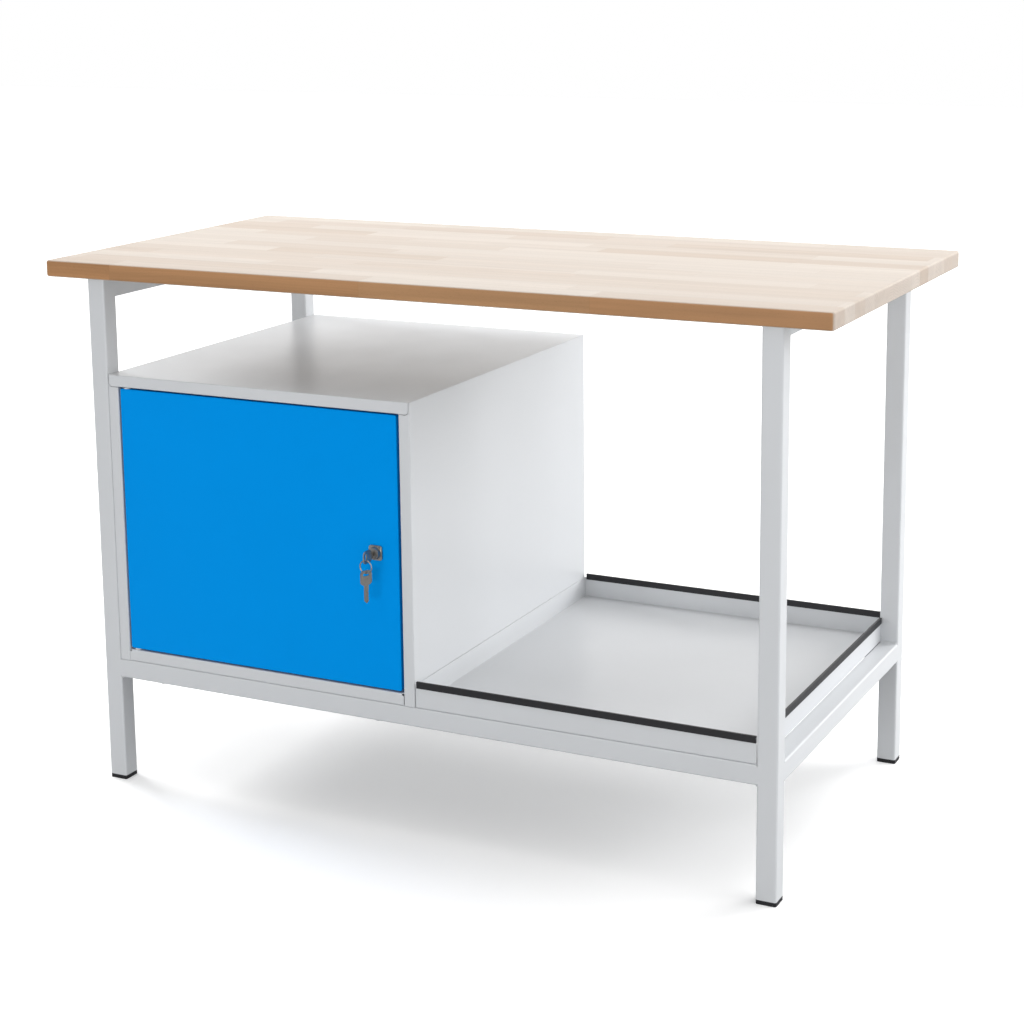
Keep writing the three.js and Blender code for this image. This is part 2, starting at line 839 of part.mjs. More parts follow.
function camGeometry() {
  const reach = lockInset + doorGapLock - camTipClearance - camTipRadius;
  const shape = new THREE.Shape();
  shape.absarc(0, 0, camHubRadius, Math.PI, Math.PI * 2);
  shape.absarc(0, reach, camTipRadius, 0, Math.PI);
  const half = plugSquare / 2 + seatGap;
  shape.holes.push(
    polygon([
      [-half, -half],
      [half, -half],
      [half, half],
      [-half, half],
    ]),
  );
  return alongY(shape, camFront, camFront + camThickness - seatGap);
}

function camScrewGeometry() {
  const screw = turnedAlongZ([
    [0, -camScrewGrip],
    [camScrewRadius, -camScrewGrip],
    [camScrewRadius, 0],
    [camScrewHeadRadius, 0],
    [camScrewHeadRadius, camScrewRimHeight],
    [camScrewCrownRadius, camScrewHeadHeight],
    [0, camScrewHeadHeight],
  ]);
  return screw.rotateX(-Math.PI / 2).translate(0, camFront + camThickness + seatGap, 0);
}

// A flat key in X and Y: its tip at the origin, its blade and bow along +Y, its hole across the bow.
const keyBowStart = keyBladeLength + keyShoulder;
const keyHoleMiddle = keyBowStart + keyBowLength - keyHoleInset;

function keyGeometry() {
  const half = keyBladeWidth / 2;
  const bits = [];
  for (let bit = 0; bit < keyBitCount; bit += 1) {
    const middle = keyBladeLength - keyBitPitch * (bit + 1);
    const depth = bit % 2 === 0 ? keyBitDepth : keyShallowBitDepth;
    bits.push([half, middle + keyBitPitch / 2], [half - depth, middle]);
  }
  const blade = polygon([
    [-half, keyBowStart + keyBowCornerRadius],
    [-half, half],
    [0, 0],
    [half, half],
    ...bits.reverse(),
    [half, keyBowStart + keyBowCornerRadius],
  ]);
  const bow = roundedRectangle(keyBowWidth, keyBowLength, keyBowCornerRadius);
  const hole = roundedRectangle(keyHoleSpan, 2 * keyHoleRadius, keyHoleRadius);
  const thickness = keyThickness / 2;
  const whole = join(
    alongZ(blade, -thickness, thickness),
    alongZ(bow, -thickness, thickness).translate(0, keyBowStart + keyBowLength / 2, 0),
  );
  const holeTool = alongZ(hole, -thickness - cutMargin, thickness + cutMargin);
  return cut(whole, holeTool.translate(0, keyHoleMiddle, 0));
}

function addLock(door) {
  const lock = addGroup(door, lockX, doorFace, lockZ);
  addPiece(lock, "lock_housing", lockHousingGeometry(), finishes.nickel);
  addPiece(lock, "lock_nut", lockNutGeometry(), finishes.zinc);
  addPiece(lock, "lock_plug", plugGeometry(), finishes.nickel);
  addPiece(lock, "lock_cam", camGeometry(), finishes.zinc);
  addPiece(lock, "cam_screw", camScrewGeometry(), finishes.zinc);
  const keyTip = plugFront + keyBladeLength;
  const key = addPiece(lock, "key", keyGeometry().rotateZ(Math.PI).rotateY(Math.PI / 2), finishes.nickel);
  key.position.y = keyTip;

  // The ring hangs in the lower end of the key's hole, and the spare key on the bottom of the ring.
  const wireDrop = keyHoleSpan / 2 - ringWireRadius - seatGap;
  const hangers = addGroup(lock, 0, keyTip - keyHoleMiddle, -wireDrop);
  const ring = new THREE.TorusGeometry(ringRadius, ringWireRadius, wireSteps, ringSteps);
  addPiece(hangers, "key_ring", ring.rotateX(Math.PI / 2), finishes.nickel).position.z = -ringRadius;
  const spareHang = keyHoleMiddle + keyHoleRadius - ringWireRadius - seatGap;
  const spareKey = addPiece(hangers, "spare_key", keyGeometry().rotateX(Math.PI / 2), finishes.nickel);
  spareKey.position.z = -2 * ringRadius - spareHang;
  spareKey.rotation.z = Math.PI / 2 + spareKeyTurn;
}

function addCabinet(bench) {
  const cabinet = addGroup(bench, cabinetLeft, -frameDepth / 2, railTop + seatGap);
  addPiece(cabinet, "cabinet_lid", lidGeometry(), finishes.greyPaint);
  addPiece(cabinet, "cabinet_left_side", sideGeometry(false), finishes.greyPaint);
  addPiece(cabinet, "cabinet_right_side", sideGeometry(true), finishes.greyPaint);
  addPiece(cabinet, "cabinet_floor", floorGeometry(), finishes.greyPaint);
  addPiece(cabinet, "cabinet_back", backGeometry(), finishes.greyPaint);
  addPiece(cabinet, "door_stop_strip", stopStripGeometry(), finishes.greyPaint);
  addPiece(cabinet, "shelf", shelfGeometry(), finishes.greyPaint);
  addPiece(cabinet, "shelf_support_left", shelfSupportGeometry(false), finishes.greyPaint);
  addPiece(cabinet, "shelf_support_right", shelfSupportGeometry(true), finishes.greyPaint);
  addHingePins(cabinet);
  addBuffers(cabinet);
  const door = addGroup(cabinet, pivotX, pivotY, doorBottom);
  addPiece(door, "door_panel", doorPanelGeometry(), finishes.bluePaint);
  addPiece(door, "door_stiffener", stiffenerGeometry(), finishes.bluePaint);
  addBushes(door);
  addLock(door);
}

// Tray. Its group's origin is its lower left front corner.

function trayGeometry() {
  const across = alongY(
    bentSheet([
      [halfSheet, trayLeftWallHeight],
      [halfSheet, halfSheet],
      [trayWidth - halfSheet, halfSheet],
      [trayWidth - halfSheet, trayWallHeight],
    ]),
    cornerRelief,
    frameDepth - cornerRelief,
  );
  const along = alongX(
    bentSheet([
      [halfSheet, trayWallHeight],
      [halfSheet, halfSheet],
      [frameDepth - halfSheet, halfSheet],
      [frameDepth - halfSheet, trayWallHeight],
    ]),
    cornerRelief,
    trayWidth - cornerRelief,
  );
  const legRoom = [
    [-cutMargin, tubeSize + seatGap],
    [frameDepth - tubeSize - seatGap, frameDepth + cutMargin],
  ].map(([from, to]) =>
    box(
      trayWidth - trayLap - seatGap,
      trayWidth + cutMargin,
      from,
      to,
      -cutMargin,
      trayWallHeight + cutMargin,
    ),
  );
  return cut(join(across, along), ...legRoom);
}

// The section of the edge trim: a channel open downwards, over the wall's upper edge.
function trimSection(middle) {
  const half = trimWidth / 2;
  const slot = halfSheet + seatGap;
  const slotTop = trayWallHeight + seatGap;
  const top = slotTop + trimCap;
  const foot = top - trimHeight;
  const round = (half - slot) / 2;
  const shape = new THREE.Shape();
  shape.moveTo(middle + slot, foot);
  shape.lineTo(middle + half, foot);
  shape.absarc(middle + half - round, top - round, round, 0, Math.PI / 2);
  shape.absarc(middle - half + round, top - round, round, Math.PI / 2, Math.PI);
  shape.lineTo(middle - half, foot);
  shape.lineTo(middle - slot, foot);
  shape.lineTo(middle - slot, slotTop);
  shape.lineTo(middle + slot, slotTop);
  return shape;
}

function addTray(bench) {
  const tray = addGroup(bench, trayLeft, -frameDepth / 2, railTop + seatGap);
  addPiece(tray, "tray", trayGeometry(), finishes.greyPaint);
  const trimLeft = cornerRelief;
  const trimRight = trayWidth - cornerRelief;
  const frontTrim = alongX(trimSection(halfSheet), trimLeft, trimRight);
  const rearTrim = alongX(trimSection(frameDepth - halfSheet), trimLeft, trimRight);
  const trimFront = tubeSize + seamGap;
  const rightTrim = alongY(trimSection(trayWidth - halfSheet), trimFront, frameDepth - trimFront);
  addPiece(tray, "tray_front_trim", frontTrim, finishes.blackPlastic);
  addPiece(tray, "tray_rear_trim", rearTrim, finishes.blackPlastic);
  addPiece(tray, "tray_right_trim", rightTrim, finishes.blackPlastic);
}

const workbench = new THREE.Group();
addPiece(workbench, "worktop", worktopGeometry(), finishes.beech);
addFrame(workbench);
addCabinet(workbench);
addCabinetBolts(workbench);
addTray(workbench);

export default workbench;
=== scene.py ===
import json
import math

import bmesh
import bpy
from mathutils import Matrix, Vector


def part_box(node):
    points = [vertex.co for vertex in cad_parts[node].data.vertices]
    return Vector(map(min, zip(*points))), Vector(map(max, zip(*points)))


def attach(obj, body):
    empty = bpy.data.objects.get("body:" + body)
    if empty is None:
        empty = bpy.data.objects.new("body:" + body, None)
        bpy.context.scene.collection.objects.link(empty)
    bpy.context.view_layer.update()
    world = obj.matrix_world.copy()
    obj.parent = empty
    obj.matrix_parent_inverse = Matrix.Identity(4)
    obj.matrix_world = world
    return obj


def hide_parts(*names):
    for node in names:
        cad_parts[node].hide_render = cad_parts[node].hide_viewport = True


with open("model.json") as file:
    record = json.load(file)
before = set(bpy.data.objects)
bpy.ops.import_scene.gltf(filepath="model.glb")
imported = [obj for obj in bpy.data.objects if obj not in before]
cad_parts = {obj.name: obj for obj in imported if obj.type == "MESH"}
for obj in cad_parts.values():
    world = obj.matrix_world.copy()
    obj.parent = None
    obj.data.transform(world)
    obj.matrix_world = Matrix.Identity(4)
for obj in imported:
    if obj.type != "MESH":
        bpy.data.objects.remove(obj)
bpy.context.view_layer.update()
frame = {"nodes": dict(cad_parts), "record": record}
scene = bpy.context.scene
mm = 0.001
nodes = frame["nodes"]
bodies = frame["record"]["behaviour"]["bodies"]
bodyOf = {node: body for body, members in bodies.items() for node in members}
print("frame loaded:", len(nodes), "nodes")

# Camera and picture

camera = {
    "yaw": 26.44,  # degrees, turned left of the bench's front
    "pitch": 10.72,  # degrees, down
    "roll": -0.61,
    "place": (1.4227, -2.8313, 1.2654),
    "imageSide": 1024,
    "focalPixels": 2094.5,
    "principalDown": -154.0,  # pixels from the picture's middle
    "sensor": 36.0,
}


def makeCamera():
    yaw, pitch, roll = (math.radians(camera[key]) for key in ("yaw", "pitch", "roll"))
    ahead = Vector((-math.sin(yaw) * math.cos(pitch), math.cos(yaw) * math.cos(pitch), -math.sin(pitch)))
    right = Vector((math.cos(yaw), math.sin(yaw), 0.0))
    up = right.cross(ahead)
    turnedRight = right * math.cos(roll) + up * math.sin(roll)
    turnedUp = up * math.cos(roll) - right * math.sin(roll)
    lens = bpy.data.cameras.new("bench_camera")
    lens.sensor_width = camera["sensor"]
    lens.lens = camera["focalPixels"] / camera["imageSide"] * camera["sensor"]
    lens.shift_y = camera["principalDown"] / camera["imageSide"]
    viewer = bpy.data.objects.new("bench_camera", lens)
    turn = Matrix((turnedRight, turnedUp, -ahead)).transposed().to_4x4()
    viewer.matrix_world = Matrix.Translation(camera["place"]) @ turn
    scene.collection.objects.link(viewer)
    scene.camera = viewer


makeCamera()
print("camera set")

# Small helpers for node trees, used by the materials and by the geometry trees


def feed(tree, socket, value):
    if isinstance(value, bpy.types.NodeSocket):
        tree.links.new(value, socket)
    elif isinstance(value, bpy.types.Node):
        tree.links.new(value.outputs[0], socket)
    else:
        socket.default_value = value


def put(tree, kind, inputs=None, **settings):
    node = tree.nodes.new(kind)
    for key, value in settings.items():
        setattr(node, key, value)
    for key, value in (inputs or {}).items():
        feed(tree, node.inputs[key], value)
    return node


def fed(tree, kind, values, **settings):
    # a node whose first inputs take the values in order
    node = put(tree, kind, **settings)
    for socket, value in zip(node.inputs, values):
        feed(tree, socket, value)
    return node


def calc(tree, operation, first, second=0.0, third=0.0):
    return fed(tree, "ShaderNodeMath", (first, second, third), operation=operation).outputs[0]


def swing(tree, draw, amount, base):
    # a draw from 0 to 1 becomes a swing about the base
    return calc(tree, "MULTIPLY_ADD", calc(tree, "SUBTRACT", draw, 0.5), amount, base)


def ramped(tree, value, low, high, toLow=0.0, toHigh=1.0, smooth=True):
    kind = "SMOOTHSTEP" if smooth else "LINEAR"
    keys = ("Value", "From Min", "From Max", "To Min", "To Max")
    inputs = dict(zip(keys, (value, low, high, toLow, toHigh)))
    return put(tree, "ShaderNodeMapRange", inputs, interpolation_type=kind).outputs[0]


def mixed(tree, factor, first, second, blend="MIX"):
    node = put(tree, "ShaderNodeMix", data_type="RGBA", blend_type=blend)
    for key, given in zip((0, 6, 7), (factor, first, second)):  # the factor's and the colours' sockets
        feed(tree, node.inputs[key], given)
    return node.outputs[2]


def tinted(tree, share, colour, tint):
    # the colour times a tint, on a share of the surface
    return mixed(tree, share, colour, mixed(tree, 1.0, colour, tint, "MULTIPLY"))


def scaled(tree, colour, factor):
    inputs = {"Vector": colour, "Scale": factor}
    return put(tree, "ShaderNodeVectorMath", inputs, operation="SCALE").outputs[0]


def dot(tree, first, second):
    return fed(tree, "ShaderNodeVectorMath", (first, second), operation="DOT_PRODUCT").outputs["Value"]


def splitVector(tree, vector):
    return put(tree, "ShaderNodeSeparateXYZ", {"Vector": vector}).outputs


def splitColour(tree, colour):
    return put(tree, "ShaderNodeSeparateColor", {"Color": colour}).outputs


def objectPlace(tree):
    return put(tree, "ShaderNodeTexCoord").outputs["Object"]


def stretched(tree, place, scale, turn=(0.0, 0.0, 0.0)):
    return put(tree, "ShaderNodeMapping", {"Vector": place, "Rotation": turn, "Scale": scale}).outputs[0]


def noise(tree, place, scale, detail=2.0, roughness=0.5):
    inputs = {"Vector": place, "Scale": scale, "Detail": detail, "Roughness": roughness}
    return put(tree, "ShaderNodeTexNoise", inputs).outputs[0]


def shade(red, green, blue):
    return (red, green, blue, 1.0)


def newGroup(name, kind, inputs, outputs):
    tree = bpy.data.node_groups.new(name, kind)
    for label, value in inputs.items():
        if isinstance(value, str):
            tree.interface.new_socket(label, in_out="INPUT", socket_type=value)
            continue
        if isinstance(value, tuple):
            socketType = "NodeSocketColor"
        else:
            socketType = "NodeSocketInt" if isinstance(value, int) else "NodeSocketFloat"
        tree.interface.new_socket(label, in_out="INPUT", socket_type=socketType).default_value = value
    for label, socketType in outputs.items():
        tree.interface.new_socket(label, in_out="OUTPUT", socket_type=socketType)
    return tree, put(tree, "NodeGroupInput").outputs, put(tree, "NodeGroupOutput")


# Shader groups that several finishes share

rubLook = {
    "samples": 4,
    "bend": (0.995, 0.8),  # how far the rounded and the plain normal agree, from no rub to full rub
    "patch": (0.35, 0.65),
    "patchDetail": 3.0,
}


def makeEdgeRub():
    # where a finish is rubbed: 1 on sharp outer edges, broken up by a little noise
    inputs = {"Reach": 0.0015, "Break Up": 60.0}
    tree, given, out = newGroup("edge rub", "ShaderNodeTree", inputs, {"Mask": "NodeSocketFloat"})
    rounded = put(tree, "ShaderNodeBevel", {"Radius": given["Reach"]}, samples=rubLook["samples"])
    plain = put(tree, "ShaderNodeNewGeometry").outputs["Normal"]
    edge = ramped(tree, dot(tree, rounded.outputs[0], plain), *rubLook["bend"])
    mottle = noise(tree, objectPlace(tree), given["Break Up"], rubLook["patchDetail"])
    patch = ramped(tree, mottle, *rubLook["patch"])
    feed(tree, out.inputs["Mask"], calc(tree, "MULTIPLY", edge, patch))
    return tree


skinLook = {  # each noise by scale, detail and roughness
    "drift": (4.5, 4.0, 0.55),
    "speck": (2600.0, 1.0, 0.5),
    "speckShare": 0.05,
    "sheen": (22.0, 3.0, 0.5),
    "peel": (1.5, 0.4),  # detail and roughness; each paint has its own scale
    "wave": (90.0, 1.0, 0.5),
    "waveShare": 0.7,
}


def makePaintSkin():
    # powder coat: broad tone drift, orange peel and gloss drift
    inputs = {
        "Paint": shade(0.6, 0.6, 0.6),
        "Tone Drift": 0.03,
        "Peel Scale": 520.0,
        "Gloss": 0.3,
        "Gloss Drift": 0.08,
        "Edge Light": 0.08,
    }
    outputs = {"Color": "NodeSocketColor", "Roughness": "NodeSocketFloat", "Height": "NodeSocketFloat"}
    tree, given, out = newGroup("powder coat skin", "ShaderNodeTree", inputs, outputs)
    place = objectPlace(tree)
    tone = swing(tree, noise(tree, place, *skinLook["drift"]), given["Tone Drift"], 1.0)
    tone = swing(tree, noise(tree, place, *skinLook["speck"]), skinLook["speckShare"], tone)
    rub = put(tree, "ShaderNodeGroup", node_tree=edgeRub)
    tone = calc(tree, "MULTIPLY_ADD", rub.outputs["Mask"], given["Edge Light"], tone)
    feed(tree, out.inputs["Color"], scaled(tree, given["Paint"], tone))
    sheen = noise(tree, place, *skinLook["sheen"])
    feed(tree, out.inputs["Roughness"], swing(tree, sheen, given["Gloss Drift"], given["Gloss"]))
    peel = noise(tree, place, given["Peel Scale"], *skinLook["peel"])
    wave = noise(tree, place, *skinLook["wave"])
    feed(tree, out.inputs["Height"], calc(tree, "MULTIPLY_ADD", wave, skinLook["waveShare"], peel))
    return tree


wearLook = {
    "runs": (  # turn and stretch of each direction of scratches
        ((0.5, 0.35, 0.5), (1.0, 0.06, 0.3)),
        ((-0.9, -0.63, -0.9), (0.06, 1.0, 0.25)),
    ),
    "scratch": (2.0, 0.6),  # detail and roughness
    "smudge": (4.0, 0.6),
}


def makeFineWear():
    # handled metal and plastic: fine scratches in two directions and soft smudges
    inputs = {"Scratch Scale": 900.0, "Smudge Scale": 60.0}
    outputs = {"Scratch": "NodeSocketFloat", "Smudge": "NodeSocketFloat"}
    tree, given, out = newGroup("fine wear", "ShaderNodeTree", inputs, outputs)
    place = objectPlace(tree)
    runs = [stretched(tree, place, stretch, turn) for turn, stretch in wearLook["runs"]]
    lines = [noise(tree, run, given["Scratch Scale"], *wearLook["scratch"]) for run in runs]
    feed(tree, out.inputs["Scratch"], calc(tree, "MULTIPLY", *lines))
    feed(tree, out.inputs["Smudge"], noise(tree, place, given["Smudge Scale"], *wearLook["smudge"]))
    return tree


edgeRub = makeEdgeRub()
paintSkin = makePaintSkin()
fineWear = makeFineWear()
print("shader groups built")

# Finishes


def newMaterial(name, **constants):
    material = bpy.data.materials.new(name)
    material.use_nodes = True
    tree = material.node_tree
    tree.nodes.clear()
    skin = put(tree, "ShaderNodeBsdfPrincipled")
    for key, value in constants.items():
        skin.inputs[key.replace("_", " ")].default_value = value
    put(tree, "ShaderNodeOutputMaterial", {"Surface": skin.outputs[0]})
    return material, tree, skin


def bumped(tree, skin, height, strength, distance):
    bump = put(tree, "ShaderNodeBump", {"Height": height, "Strength": strength, "Distance": distance})
    feed(tree, skin.inputs["Normal"], bump.outputs[0])


paints = {
    "greyPowderCoat": {
        "Paint": shade(0.620, 0.637, 0.657),
        "Tone Drift": 0.05,
        "Peel Scale": 520.0,
        "Gloss": 0.32,
        "Gloss Drift": 0.08,
        "Edge Light": 0.05,
        "bump": 0.16,
        "specular": 0.42,
        "tint": shade(1.0, 1.0, 1.0),
    },
    "bluePowderCoat": {
        "Paint": shade(0.0, 0.285, 0.800),
        "Tone Drift": 0.06,
        "Peel Scale": 560.0,
        "Gloss": 0.36,
        "Gloss Drift": 0.10,
        "Edge Light": 0.05,
        "bump": 0.14,
        "specular": 0.12,
        "tint": shade(0.0, 0.45, 1.0),
    },
}
peelDepth = 0.0004


def makePaint(name):
    look = paints[name]
    material, tree, skin = newMaterial(name, Specular_IOR_Level=look["specular"], Specular_Tint=look["tint"])
    coat = put(tree, "ShaderNodeGroup", node_tree=paintSkin)
    for socket in coat.inputs:
        socket.default_value = look[socket.name]
    feed(tree, skin.inputs["Base Color"], coat.outputs["Color"])
    feed(tree, skin.inputs["Roughness"], coat.outputs["Roughness"])
    bumped(tree, skin, coat.outputs["Height"], look["bump"], peelDepth)
    return material


beech = {
    "staves": 14,
    "depth": 0.62,
    "inside": 0.998,  # rows lie a hair inside the board, so that its faces belong to one stave
    "blockLength": 0.36,
    "blockScatter": 0.8,
    "seed": 13.37,  # sets another row of blocks
    "dark": shade(0.458, 0.371, 0.299),
    "palest": shade(0.536, 0.475, 0.416),
    "between": {  # tones at shares of the way from dark to palest
        0.16: shade(0.488, 0.413, 0.349),
        0.5: shade(0.513, 0.449, 0.390),
    },
    "longEdgeOilAndShade": shade(0.845, 0.535, 0.300),  # tint of the long edges: partly oiled wood, partly painted shade that darkens the board's front and back faces
    "endGrain": shade(0.95, 0.95, 0.96),
    "faceFrom": (0.6, 0.95),
    "specular": 0.16,
    "rough": (0.38, 0.50),
    "roughFrom": (0.2, 0.8),
    "glueLine": (0.0001, 0.0004),
    "glueTone": -0.14,
    "glueHeight": -0.8,
    "fibreHeight": 0.5,
    "bump": (0.25, 0.0002),
}
grain = {
    "blockShift": (7.0, 5.0, 3.0),  # moves the grain from block to block
    "ring": 0.0042,  # growth ring spacing
    "ringTone": (0.022, 0.05),  # on the flat faces and on the end grain
    "heartSpread": (0.20, 0.24),  # across and up
    "heartSway": (0.030, 0.040),
    "heartAway": (0.12, 0.66),
    "swayStretch": (1.6, 9.0, 9.0),
    "sway": {"Scale": 1.5, "Detail": 2.0},
    "fibreStretch": (7.0, 330.0, 330.0),
    "fibre": (1.0, 3.0, 0.6),  # scale, detail and roughness
    "fibreTone": 0.16,
    "streakStretch": (1.2, 55.0, 55.0),
    "streak": (1.0, 2.0, 0.55),
    "streakTone": (0.22, 0.60),  # on the flat faces and on the long edges
    "fleckStretch": (240.0, 1500.0, 1500.0),
    "fleck": (1.0, 0.0, 0.5),
    "fleckFrom": (0.66, 0.76),
    "fleckTone": -0.10,
}


def layStaves(tree, along, across):
    # rows of staves, each cut into blocks: the place in a stave, a draw per block and the glue lines
    width = beech["depth"] / beech["staves"]
    rows = calc(tree, "MULTIPLY_ADD", across, beech["inside"] / width, beech["staves"] / 2)
    start = calc(tree, "MULTIPLY", calc(tree, "FLOOR", rows), beech["seed"])
    run = calc(tree, "MULTIPLY_ADD", along, 1.0 / beech["blockLength"], start)
    cell = {"W": run, "Scale": 1.0, "Randomness": beech["blockScatter"]}
    block = put(tree, "ShaderNodeTexVoronoi", cell, voronoi_dimensions="1D", feature="F1")
    joint = put(tree, "ShaderNodeTexVoronoi", cell, voronoi_dimensions="1D", feature="DISTANCE_TO_EDGE")
    within = calc(tree, "FRACT", rows)
    offMiddle = calc(tree, "ABSOLUTE", calc(tree, "SUBTRACT", within, 0.5))
    besideRow = calc(tree, "MULTIPLY", calc(tree, "SUBTRACT", 0.5, offMiddle), width)
    besideBlock = calc(tree, "MULTIPLY", joint.outputs["Distance"], beech["blockLength"])
    lines = [ramped(tree, gap, *beech["glueLine"], 1.0, 0.0) for gap in (besideRow, besideBlock)]
    return calc(tree, "MULTIPLY", within, width), block.outputs["Color"], calc(tree, "MAXIMUM", *lines)


def growRings(tree, moved, draws, inStave, up):
    # growth rings about a heart somewhere beside each block, drifting along its length
    slow = stretched(tree, moved, grain["swayStretch"])
    sway = put(tree, "ShaderNodeTexNoise", {"Vector": slow, **grain["sway"]}).outputs["Color"]
    sways = splitColour(tree, sway)
    hearts = []
    for k, draw in enumerate(draws):
        wander = calc(tree, "MULTIPLY", sways[k], grain["heartSway"][k])
        hearts.append(calc(tree, "MULTIPLY_ADD", draw, grain["heartSpread"][k], wander))
    awayAcross, awayUp = grain["heartAway"]
    farY = calc(tree, "ADD", inStave, calc(tree, "SUBTRACT", hearts[0], awayAcross))
    farZ = calc(tree, "SUBTRACT", up, calc(tree, "ADD", hearts[1], awayUp))
    squares = [calc(tree, "MULTIPLY", far, far) for far in (farY, farZ)]
    far = calc(tree, "SQRT", calc(tree, "ADD", *squares))
    return calc(tree, "SINE", calc(tree, "MULTIPLY", far, 2 * math.pi / grain["ring"]))


def makeBeech():
    material, tree, skin = newMaterial("beechStaves", Specular_IOR_Level=beech["specular"])
    here = put(tree, "ShaderNodeTexCoord").outputs
    place = here["Object"]
    along, across, up = splitVector(tree, place)
    faceX, faceY, _ = splitVector(tree, here["Normal"])
    endFace, longFace = (ramped(tree, calc(tree, "ABSOLUTE", f), *beech["faceFrom"]) for f in (faceX, faceY))
    inStave, draw, line = layStaves(tree, along, across)
    toneDraw, *heartDraws = splitColour(tree, draw)
    tone = put(tree, "ShaderNodeValToRGB", {"Fac": toneDraw})
    spots = tone.color_ramp.elements
    spots[0].color = beech["dark"]
    spots[1].color = beech["palest"]
    for spot, colour in beech["between"].items():
        spots.new(spot).color = colour
    shift = (draw, grain["blockShift"], place)
    moved = fed(tree, "ShaderNodeVectorMath", shift, operation="MULTIPLY_ADD").outputs[0]
    ring = growRings(tree, moved, heartDraws, inStave, up)
    fibre, streak, fleck = (
        noise(tree, stretched(tree, moved, grain[kind + "Stretch"]), *grain[kind])
        for kind in ("fibre", "streak", "fleck")
    )
    ringTone = ramped(tree, endFace, 0.0, 1.0, *grain["ringTone"], smooth=False)
    streakTone = ramped(tree, longFace, 0.0, 1.0, *grain["streakTone"], smooth=False)
    level = calc(tree, "MULTIPLY_ADD", ring, ringTone, 1.0)
    level = swing(tree, fibre, grain["fibreTone"], level)
    level = swing(tree, streak, streakTone, level)
    dots = ramped(tree, fleck, *grain["fleckFrom"])
    level = calc(tree, "MULTIPLY_ADD", dots, grain["fleckTone"], level)
    level = calc(tree, "MULTIPLY_ADD", line, beech["glueTone"], level)
    board = scaled(tree, tone.outputs["Color"], level)
    # the long edges take a darker, more orange tint: oiled wood and painted shade
    oiledAndShadedEdges = tinted(tree, longFace, board, beech["longEdgeOilAndShade"])
    feed(tree, skin.inputs["Base Color"], tinted(tree, endFace, oiledAndShadedEdges, beech["endGrain"]))
    feed(tree, skin.inputs["Roughness"], ramped(tree, fibre, *beech["roughFrom"], *beech["rough"]))
    fibreHeight = calc(tree, "MULTIPLY", fibre, beech["fibreHeight"])
    height = calc(tree, "MULTIPLY_ADD", line, beech["glueHeight"], fibreHeight)
    bumped(tree, skin, height, *beech["bump"])
    return material


moulded = {
    "blackPlastic": {
        "tone": shade(0.009, 0.009, 0.011),
        "light": shade(0.022, 0.022, 0.026),
        "rough": 0.46,
        "bump": 0.2,
        "specular": 0.36,
    },
    "bufferRubber": {
        "tone": shade(0.020, 0.019, 0.018),
        "light": shade(0.06, 0.058, 0.055),
        "rough": 0.7,
        "bump": 0.3,
        "specular": 0.4,
    },
    "whiteNylon": {
        "tone": shade(0.78, 0.77, 0.73),
        "light": shade(0.88, 0.87, 0.84),
        "rough": 0.4,
        "bump": 0.15,
        "specular": 0.5,
    },
}
mouldWear = {
    "rubReach": 0.0008,
    "rubTone": 0.6,
    "smudgeTone": 0.5,
    "smudgeRough": 0.16,
    "spark": (1800.0, 2.0, 0.6),  # spark-eroded mould surface
    "sparkDepth": 0.0002,
}


def makeMoulded(name):
    look = moulded[name]
    material, tree, skin = newMaterial(name, Specular_IOR_Level=look["specular"])
    smudge = put(tree, "ShaderNodeGroup", node_tree=fineWear).outputs["Smudge"]
    rub = put(tree, "ShaderNodeGroup", {"Reach": mouldWear["rubReach"]}, node_tree=edgeRub).outputs["Mask"]
    smudged = calc(tree, "MULTIPLY", smudge, mouldWear["smudgeTone"])
    share = calc(tree, "MULTIPLY_ADD", rub, mouldWear["rubTone"], smudged)
    feed(tree, skin.inputs["Base Color"], mixed(tree, share, look["tone"], look["light"]))
    least = look["rough"] - mouldWear["smudgeRough"] / 2
    rough = calc(tree, "MULTIPLY_ADD", smudge, mouldWear["smudgeRough"], least)
    feed(tree, skin.inputs["Roughness"], rough)
    spark = noise(tree, objectPlace(tree), *mouldWear["spark"])
    bumped(tree, skin, spark, look["bump"], mouldWear["sparkDepth"])
    return material


platings = {
    "nickelPlate": {
        # tone and worn are far darker than nickel: painted shade, standing in for the dark surroundings the
        # plating mirrors
        "tone": shade(0.29, 0.28, 0.265),
        "worn": shade(0.47, 0.46, 0.44),
        "cloud": 0.35,
        "rough": 0.30,
        "bump": 0.05,
    },
    "zincPlate": {
        "tone": shade(0.56, 0.58, 0.61),
        "worn": shade(0.70, 0.69, 0.64),
        "cloud": 0.60,
        "rough": 0.34,
        "bump": 0.16,
    },
}
platingWear = {
    "rubReach": 0.0005,
    "cloudFrom": (0.3, 0.7),
    "scratchRough": 0.35,
    "polish": 0.06,  # how much smoother the plating is between scratches
    "scratchDepth": 0.0001,
}


def makePlating(name):
    look = platings[name]
    material, tree, skin = newMaterial(name, Metallic=1.0)
    wear = put(tree, "ShaderNodeGroup", node_tree=fineWear).outputs
    rub = put(tree, "ShaderNodeGroup", {"Reach": platingWear["rubReach"]}, node_tree=edgeRub).outputs["Mask"]
    cloud = ramped(tree, wear["Smudge"], *platingWear["cloudFrom"])
    share = calc(tree, "MAXIMUM", calc(tree, "MULTIPLY", cloud, look["cloud"]), rub)
    feed(tree, skin.inputs["Base Color"], mixed(tree, share, look["tone"], look["worn"]))
    least = look["rough"] - platingWear["polish"]
    rough = calc(tree, "MULTIPLY_ADD", wear["Scratch"], platingWear["scratchRough"], least)
    feed(tree, skin.inputs["Roughness"], rough)
    bumped(tree, skin, wear["Scratch"], look["bump"], platingWear["scratchDepth"])
    return material


